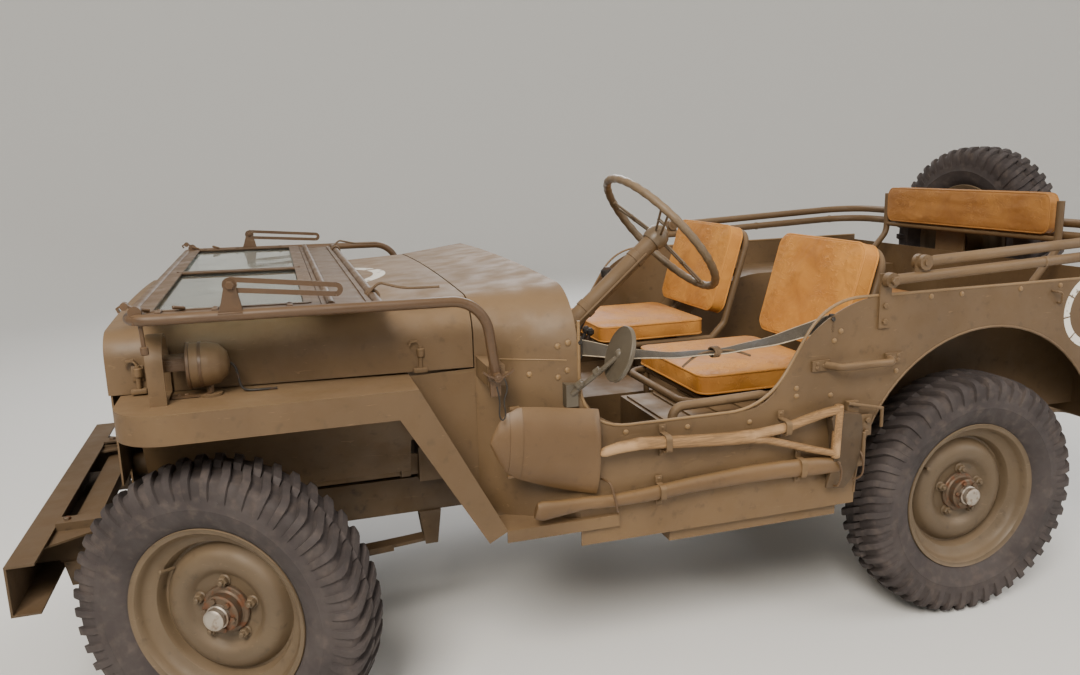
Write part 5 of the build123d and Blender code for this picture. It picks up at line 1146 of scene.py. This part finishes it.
def build_steering_wheel():
    """Rim with finger grips, three spokes of paired rods, hub, horn button and the column's clips."""
    axis = Vector((-math.cos(WHEEL_TILT), 0, math.sin(WHEEL_TILT)))
    rise = axis.cross(ALONG_Y)
    pose = framed(WHEEL_AT, ALONG_Y, rise, axis)
    bm = bmesh.new()
    around, through = 180, 14
    rings = []
    for turn in (2 * math.pi * i / around for i in range(around)):
        grip = GRIP_R + GRIP_DEEP * math.cos(turn * GRIPS)
        ring = []
        for a in (2 * math.pi * k / through for k in range(through)):
            reach = RIM_R + grip * math.cos(a)
            ring.append(bm.verts.new((reach * math.cos(turn), reach * math.sin(turn), grip * math.sin(a))))
        rings.append(ring)
    skin(bm, rings, closed=True, capped=False)
    add_lathe(bm, metres(WHEEL_HUB))
    bm.transform(pose)
    rim = piece(bm, "steering_rim", rim_plastic, "steering_wheel")
    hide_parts("steering_wheel")
    bm = bmesh.new()
    for turn in (math.radians(90 + 120 * i) for i in range(3)):
        spun = Matrix.Rotation(turn, 4, "Z")
        way, flank = spun @ ALONG_X, spun @ ALONG_Y
        for gap in (-0.009, 0.009):
            foot = way * 0.026 + flank * gap - ALONG_Z * 0.010
            add_rod(bm, foot, way * 0.201 + flank * gap * 1.4, 0.0034, 10)
        add_box(bm, way * 0.196 - ALONG_Z * 0.001, (0.014, 0.034, 0.010), 0.003, spun)
        add_box(bm, way * 0.113 - ALONG_Z * 0.005, (0.010, 0.028, 0.008), 0.002, spun)
    add_lathe(bm, metres(HORN_BUTTON))
    bm.transform(pose)
    piece(bm, "steering_spokes", rim_plastic, "steering_wheel")
    # clips and the horn wire's tube along the column
    bm = bmesh.new()
    for reach in (0.10, 0.30):
        add_band(bm, WHEEL_AT - axis * reach, axis, 0.0252, 0.0275, 0.010, 0.009, 32)
    beside = WHEEL_AT + ALONG_Y * 0.027 + rise * 0.004
    add_rod(bm, beside - axis * 0.075, beside - axis * 0.56, 0.0035, 8)
    piece(bm, "column_clips", body_paint, CHASSIS)


build_steering_wheel()


# The low bow's pivot, and where its tube turns round the tail
BOW_PIVOT, BOW_END = (-1650, 1042), (-2634, 1078)


def build_bow_trim():
    """The low bow's pivot bolts, and bands round its tube."""
    (x0, z0), (x1, z1) = BOW_PIVOT, BOW_END
    bm = bmesh.new()
    for side in (1, -1):
        add_hex(bm, at(x0, side * 768, z0), (0, side, 0), 0.012, 0.008)
        for x in (-2150, -2520):
            z = z0 + (z1 - z0) * (x - x0) / (x1 - x0)
            add_band(bm, at(x, side * 752, z), ALONG_X, 0.0148, 0.0158, 0.006, 0.004, 24)
    piece(bm, "low_bow_trim", body_paint, "low_bow")


build_bow_trim()


def build_seat_trim():
    """Three straps across the back of each front seat's frame."""
    for side, body in ((1, CHASSIS), (-1, "passenger_seat")):
        bm = bmesh.new()
        pose = leaning(BACK_FOOT, BACK_TOP, BACK_PAD, side * SEAT_Y)
        for u in (-0.10, 0.0, 0.10):
            ends = [pose @ Vector((u, v, -0.046)) for v in (-0.196, 0.196)]
            add_strip(bm, ends, pose.to_3x3() @ ALONG_X, 0.030, 0.003)
        piece(bm, sided("back_straps", side), webbing, body)


build_seat_trim()


def sweep(bm, stations, segments=20):
    """A round bar whose size changes along it, from (X, Y, Z in mm, half width along Y, half height)."""
    rings = []
    turns = [2 * math.pi * k / segments for k in range(segments)]
    spots = [at(*row[:3]) for row in stations]
    for i, (spot, row) in enumerate(zip(spots, stations)):
        ahead = (spots[min(i + 1, len(spots) - 1)] - spots[max(i - 1, 0)]).normalized()
        rise = ahead.cross(ALONG_Y).normalized()
        out = rise.cross(ahead).normalized() * row[3] / 1000
        rise *= row[4] / 1000
        rings.append([bm.verts.new(spot + out * math.cos(t) + rise * math.sin(t)) for t in turns])
    skin(bm, rings)


# Down the shovel's blade: X and Z of its top edge, X and Z of its lower edge, and its middle's bulge
BLADE = [(-841, 781, -831, 566, 25), (-838, 783, -828, 568, 27), (-770, 793, -758, 588, 30),
         (-700, 803, -690, 611, 30), (-644, 809, -632, 634, 26), (-612, 797, -604, 656, 18),
         (-592, 774, -588, 682, 11), (-576, 745, -576, 712, 5), (-571, 733, -571, 725, 2)]
# Stations of the shovel's handle: X, Y, Z, half width and half height
GRIP_Y = 761
SHAFT = [(-834, 760, 677, 6, 6), (-838, 760, 678, 10, 9), (-848, GRIP_Y, 680, 12.5, 12),
         (-880, 763, 687, 14, 14), (-941, 763, 691, 15, 15.5), (-1085, 762, 679, 15, 15.5),
         (-1190, GRIP_Y, 672, 16, 17), (-1250, GRIP_Y, 671, 16, 18)]
FORK_TOP = [(-1225, GRIP_Y, 674, 14, 12), (-1290, GRIP_Y, 677, 13.5, 13.5), (-1350, GRIP_Y, 683, 13, 13),
            (-1406, GRIP_Y, 697, 13, 13), (-1460, GRIP_Y, 708, 12.5, 12.5), (-1500, GRIP_Y, 713, 12, 12),
            (-1510, GRIP_Y, 714, 9, 9)]
FORK_LOW = [(-1225, GRIP_Y, 666, 12, 10), (-1290, GRIP_Y, 656, 11, 10), (-1352, GRIP_Y, 637, 10, 9.5),
            (-1433, GRIP_Y, 611, 9.5, 9.5), (-1490, GRIP_Y, 595, 9.5, 9.5), (-1504, GRIP_Y, 592, 7, 7)]
# The same for the axe's handle, all at one Y, and the outline of its head in X and Z
AXE_Y = 752
AXE_SHAFT = [(x, AXE_Y, *rest) for x, *rest in (
    (-672, 550, 9, 17), (-676, 549, 12, 21), (-690, 549, 14, 25), (-728, 550, 14.5, 21), (-796, 553, 14, 16),
    (-866, 549, 14, 16), (-951, 551, 14.5, 18), (-1082, 560, 15, 20), (-1233, 566, 16, 23),
    (-1340, 566, 16, 24), (-1440, 562, 16, 24), (-1512, 556, 14, 22))]
AXE_HEAD = [(-1476, 496), (-1534, 488), (-1552, 512), (-1566, 545), (-1572, 600), (-1576, 650), (-1570, 694),
            (-1530, 702), (-1484, 703), (-1478, 688), (-1492, 640), (-1494, 600), (-1490, 560)]


def blade_point(u, v, off):
    """A point of the dished blade: u along it, v across from -1 to 1, off outward in mm."""
    spot = u * (len(BLADE) - 1)
    i = min(int(spot), len(BLADE) - 2)
    row = [a + (b - a) * (spot - i) for a, b in zip(BLADE[i], BLADE[i + 1])]
    share = (v + 1) / 2
    top_x, top_z, low_x, low_z, bulge = row
    crown = 1 - abs(v) ** 2.6
    return at(top_x + (low_x - top_x) * share, 738 + bulge * crown + off, top_z + (low_z - top_z) * share)


def build_shovel():
    """Dished blade with a band round its front, handle and D grip."""
    bm = bmesh.new()
    along, across = 40, 24
    spots = [[(i / along, 2 * k / across - 1) for k in range(across + 1)] for i in range(along + 1)]
    faces = [[[bm.verts.new(blade_point(u, v, off)) for u, v in row] for row in spots] for off in (2.2, 0)]
    for grid in faces:
        for i in range(along):
            for k in range(across):
                bm.faces.new([grid[i][k], grid[i + 1][k], grid[i + 1][k + 1], grid[i][k + 1]])
    top, low = faces
    rim = ([(i, 0) for i in range(along)] + [(along, k) for k in range(across)]
           + [(i, across) for i in range(along, 0, -1)] + [(0, k) for k in range(across, 0, -1)])
    for (i, k), (m, n) in zip(rim, rim[1:] + rim[:1]):
        bm.faces.new([top[i][k], low[i][k], low[m][n], top[m][n]])
    blade = piece(bm, "shovel_blade", tool_paint, CHASSIS)
    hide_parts("tools")
    bm = bmesh.new()
    step = ALONG_Y * 0.0022
    rows = []
    for v in range(-12, 13):
        spot, other = (blade_point(u, v / 12, 2.6) for u in (0.60, 0.49))
        rows.append([bm.verts.new(c) for c in (spot, other, other + step, spot + step)])
    skin(bm, rows)
    for v in (-1, 1):
        edge = blade_point(0.545, v, 3)
        add_box(bm, (edge.x, 0.7345, edge.z - v * 0.002), (0.024, 0.009, 0.008), 0.0015)
    piece(bm, "shovel_band", tool_paint, CHASSIS)
    bm = bmesh.new()
    for stations in (SHAFT, FORK_TOP, FORK_LOW):
        sweep(bm, stations)
    add_rod(bm, at(-1503, GRIP_Y, 726), at(-1496, GRIP_Y, 581), 0.0125, 20)
    piece(bm, "shovel_handle", wood, CHASSIS)


def build_axe():
    """Handle with its flared front end, and the head hung crosswise."""
    bm = bmesh.new()
    sweep(bm, AXE_SHAFT)
    piece(bm, "axe_handle", tool_paint, CHASSIS)
    bm = bmesh.new()
    # thin at the cutting edge, which hangs lowest, and thick at the poll
    halves = [3 + 11 * min(1, max(0, (z - 492) / 90)) for _, z in AXE_HEAD]
    skin(bm, [[bm.verts.new(at(x, AXE_Y + way * half, z)) for (x, z), half in zip(AXE_HEAD, halves)]
              for way in (1, -1)])
    bmesh.ops.bevel(bm, geom=bm.edges[:], offset=0.0018, segments=2, affect="EDGES", profile=0.5)
    piece(bm, "axe_head", chassis_paint, CHASSIS)


# The hoops' X, Y, Z and half height, the bracket plates' X, Z, width, height and depth, and their bolts
HOOPS = [(-1010, GRIP_Y, 682, 21), (-1345, GRIP_Y, 683, 18), (-1000, AXE_Y, 553, 18), (-1400, AXE_Y, 563, 24)]
BRACKETS = [(-1556, 700, 36, 52, 16), (-1600, 652, 44, 60, 10), (-1548, 590, 26, 88, 14),
            (-1590, 560, 30, 44, 12)]
BRACKET_BOLTS = [(-1556, 716), (-1556, 688), (-1604, 668), (-1600, 634), (-1548, 566)]
TOOL_WIRES = {
    "axe_wire": [(-846, 738, 604), (-851, 756, 606), (-858, 772, 600), (-866, 776, 565), (-874, 774, 530),
                 (-880, 762, 522), (-884, 744, 528)],
    "tail_wire_a": [(-1500, 740, 500), (-1500, 768, 498), (-1508, 774, 520), (-1512, 772, 556),
                    (-1500, 768, 572)],
    "tail_wire_b": [(-1572, 744, 598), (-1574, 768, 590), (-1580, 772, 548), (-1576, 768, 516),
                    (-1560, 752, 508)]}


def build_clamps():
    """Straps, lugs, clamp screws and wire loops that hold the shovel and the axe to the body side."""
    bm = bmesh.new()
    # the shallow pressed ridge between the two handles
    crest = bm.verts.new(at(-1118, 735, 588))
    foot = [bm.verts.new(at(x, 729, z)) for x, z in ((-940, 566), (-1110, 622), (-1241, 584), (-1121, 560))]
    for a, b in zip(foot, foot[1:] + foot[:1]):
        bm.faces.new([a, b, crest])
    bm.faces.new(foot)
    for x, y, z, half in HOOPS:
        corners = [(735, -1), (y + 17, -1), (y + 17, 1), (735, 1)]
        hoop = rounded([at(x, reach, z + way * half) for reach, way in corners], 0.012, 5)
        add_strip(bm, hoop, ALONG_X, 0.016, 0.003)
        for way in (-1, 1):
            add_box(bm, at(x, TRIM_Y, z + way * (half + 9)), (0.018, 0.004, 0.022), 0.0015)
            add_rivet(bm, at(x, TRIM_Y + 2, z + way * (half + 12)), ALONG_Y, 0.0045)
    # the bracket plates and hinged clamps at the tail of the tools
    for x, z, wide, tall, deep in BRACKETS:
        add_box(bm, at(x, 733 + deep / 2, z), (wide / 1000, deep / 1000, tall / 1000), 0.004)
    for x, z in BRACKET_BOLTS:
        add_hex(bm, at(x, TRIM_Y + 10, z), ALONG_Y, 0.008, 0.006)
    add_rod(bm, at(-1534, 757, 724), at(-1640, 757, 700), 0.0045, 10)
    add_rod(bm, at(-1640, 757, 704), at(-1640, 757, 648), 0.0045, 10)
    add_rod(bm, at(-1586, 757, 640), at(-1586, 757, 560), 0.006, 12)
    piece(bm, "tool_clamps", body_paint, CHASSIS)
    for name, points in TOOL_WIRES.items():
        tube(name, [at(*point) for point in points], 0.0028, screen_paint, CHASSIS, kind="NURBS")


build_shovel()
build_axe()
build_clamps()


# The strap: where it starts, its length, sag and bow inboard in mm, and half its section across and through
STRAP_X, STRAP_LONG, STRAP_SAG, STRAP_BOW = -802, 700, 50, 14
STRAP_STEPS = 48
STRAP_SECTION = [(-0.019, -0.001), (-0.0155, -0.0018), (0.0155, -0.0018), (0.019, -0.001),
                 (0.019, 0.001), (0.0155, 0.0018), (-0.0155, 0.0018), (-0.019, 0.001)]


def strap_middle(t):
    """A point down the strap's middle, for t from 0 to 1."""
    return at(STRAP_X - t * STRAP_LONG, 722 - STRAP_BOW * math.sin(math.pi * t) ** 0.3,
              934 + 6 * t - 4 * STRAP_SAG * t * (1 - t))


def build_strap():
    """The webbing strap across the left door opening: twisted, sagging, with its knot and loose ends."""
    bm = bmesh.new()
    steps = STRAP_STEPS
    points = [strap_middle(i / steps) for i in range(steps + 1)]
    rows = []
    edges = ([], [])
    for i, p in enumerate(points):
        t = i / steps
        ahead = (points[min(i + 1, steps)] - points[max(i - 1, 0)]).normalized()
        lean = math.radians(86 - 80 * math.sin(math.pi * t) ** 0.55)
        across = Vector((0, -math.cos(lean), math.sin(lean)))
        across = (across - ahead * across.dot(ahead)).normalized()
        out = ahead.cross(across)
        ruck = 0.0012 * math.sin(31 * t)
        for edge, way in zip(edges, (-1, 1)):
            edge.append(p + across * way * 0.0182 + out * ruck)
        rows.append([bm.verts.new(p + across * w + out * (h + ruck)) for w, h in STRAP_SECTION])
    skin(bm, rows)
    strap = piece(bm, "door_strap", webbing, CHASSIS)
    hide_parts("safety_strap")
    for name, edge in zip(("strap_edge_low", "strap_edge_high"), edges):
        tube(name, edge, 0.0016, selvedge, CHASSIS)
    middle = points[steps // 2 + 1]
    wraps = [middle + Vector((-0.009 + k * 0.00056, 0.020 * math.cos(math.pi * k / 4),
                              0.012 * math.sin(math.pi * k / 4))) for k in range(33)]
    tube("strap_lashing", wraps, 0.0030, rope_fibre, CHASSIS, kind="NURBS")
    for name, way in (("strap_end_front", 1), ("strap_end_rear", -1)):
        end = [middle + Vector(off) for off in (
            (0, 0, 0), (way * 0.030, 0.010, 0.006), (way * 0.070, 0.014, -0.006),
            (way * 0.095, 0.012, -0.022 - 0.006 * way))]
        tube(name, end, 0.0030, rope_fibre, CHASSIS, kind="NURBS")
    bm = bmesh.new()
    for x in (-800, -1496):
        add_box(bm, at(x, 724, 936), (0.012, 0.012, 0.050), 0.002)
        add_hex(bm, at(x, SIDE_Y, 948), ALONG_Y, 0.006, 0.004)
    piece(bm, "strap_hooks", dark_steel, CHASSIS)


build_strap()


# Floor, backdrop, light
# Radius of the flat floor, radius of the bend at its edge, and the backdrop's height
FLOOR_R, BEND_R, WALL_TOP = 7.0, 4.0, 9.0
SKY_LIGHT, SKY_SEEN = 0.46, 0.9


def build_stage():
    """A pale floor that curves up into a backdrop all round, and even light from the sky."""
    bm = bmesh.new()
    bend = [math.radians(7.5 * k) for k in range(13)]
    profile = [(0, 0)] + [(FLOOR_R + BEND_R * math.sin(t), BEND_R - BEND_R * math.cos(t)) for t in bend]
    add_lathe(bm, profile + [(FLOOR_R + BEND_R, WALL_TOP)], segments=96)
    bmesh.ops.reverse_faces(bm, faces=bm.faces)
    floor = bpy.data.meshes.new("studio_floor")
    bm.to_mesh(floor)
    bm.free()
    smooth(floor)
    obj = link(bpy.data.objects.new("studio_floor", floor))
    s = Shader("studio_floor")
    obj.data.materials.append(s.finish(rgb(232, 231, 228), 0.9))
    world = bpy.data.worlds.new("studio")
    bpy.context.scene.world = world
    world.use_nodes = True
    tree = world.node_tree
    back = tree.nodes["Background"]
    path = tree.nodes.new("ShaderNodeLightPath")
    # what the camera and the glass see is not what lights the car
    seen = tree.nodes.new("ShaderNodeBackground")
    seen.inputs[0].default_value = (0.80, 0.80, 0.79, 1)
    seen.inputs[1].default_value = SKY_SEEN
    back.inputs[0].default_value = (1.0, 0.985, 0.96, 1)
    back.inputs[1].default_value = SKY_LIGHT
    any_path = tree.nodes.new("ShaderNodeMath")
    any_path.operation = "MAXIMUM"
    tree.links.new(path.outputs["Is Camera Ray"], any_path.inputs[0])
    tree.links.new(path.outputs["Is Transmission Ray"], any_path.inputs[1])
    mixed = tree.nodes.new("ShaderNodeMixShader")
    tree.links.new(any_path.outputs[0], mixed.inputs[0])
    tree.links.new(back.outputs[0], mixed.inputs[1])
    tree.links.new(seen.outputs[0], mixed.inputs[2])
    tree.links.new(mixed.outputs[0], tree.nodes["World Output"].inputs[0])


# Lamps: name, place, aimed at, size, watts, colour
LAMPS = [("key", (2.6, 4.2, 4.4), (0.1, 0, 0.6), 2.2, 430, (1.0, 0.94, 0.85)),
         ("fill", (-3.8, 3.4, 3.0), (-0.4, 0, 0.6), 3.4, 130, (1.0, 0.97, 0.94)),
         ("back", (-1.5, -4.4, 4.0), (0, 0, 0.7), 3.0, 170, (0.97, 0.98, 1.0))]


def build_lamps():
    """The square lamps, each aimed at its spot."""
    for name, place, aim, size, watts, colour in LAMPS:
        data = bpy.data.lights.new(name, "AREA")
        data.size, data.energy, data.color = size, watts, colour
        lamp = link(bpy.data.objects.new(name, data))
        way = Vector(aim) - Vector(place)
        lamp.matrix_world = Matrix.Translation(place) @ way.to_track_quat("-Z", "Y").to_matrix().to_4x4()


build_stage()
build_lamps()
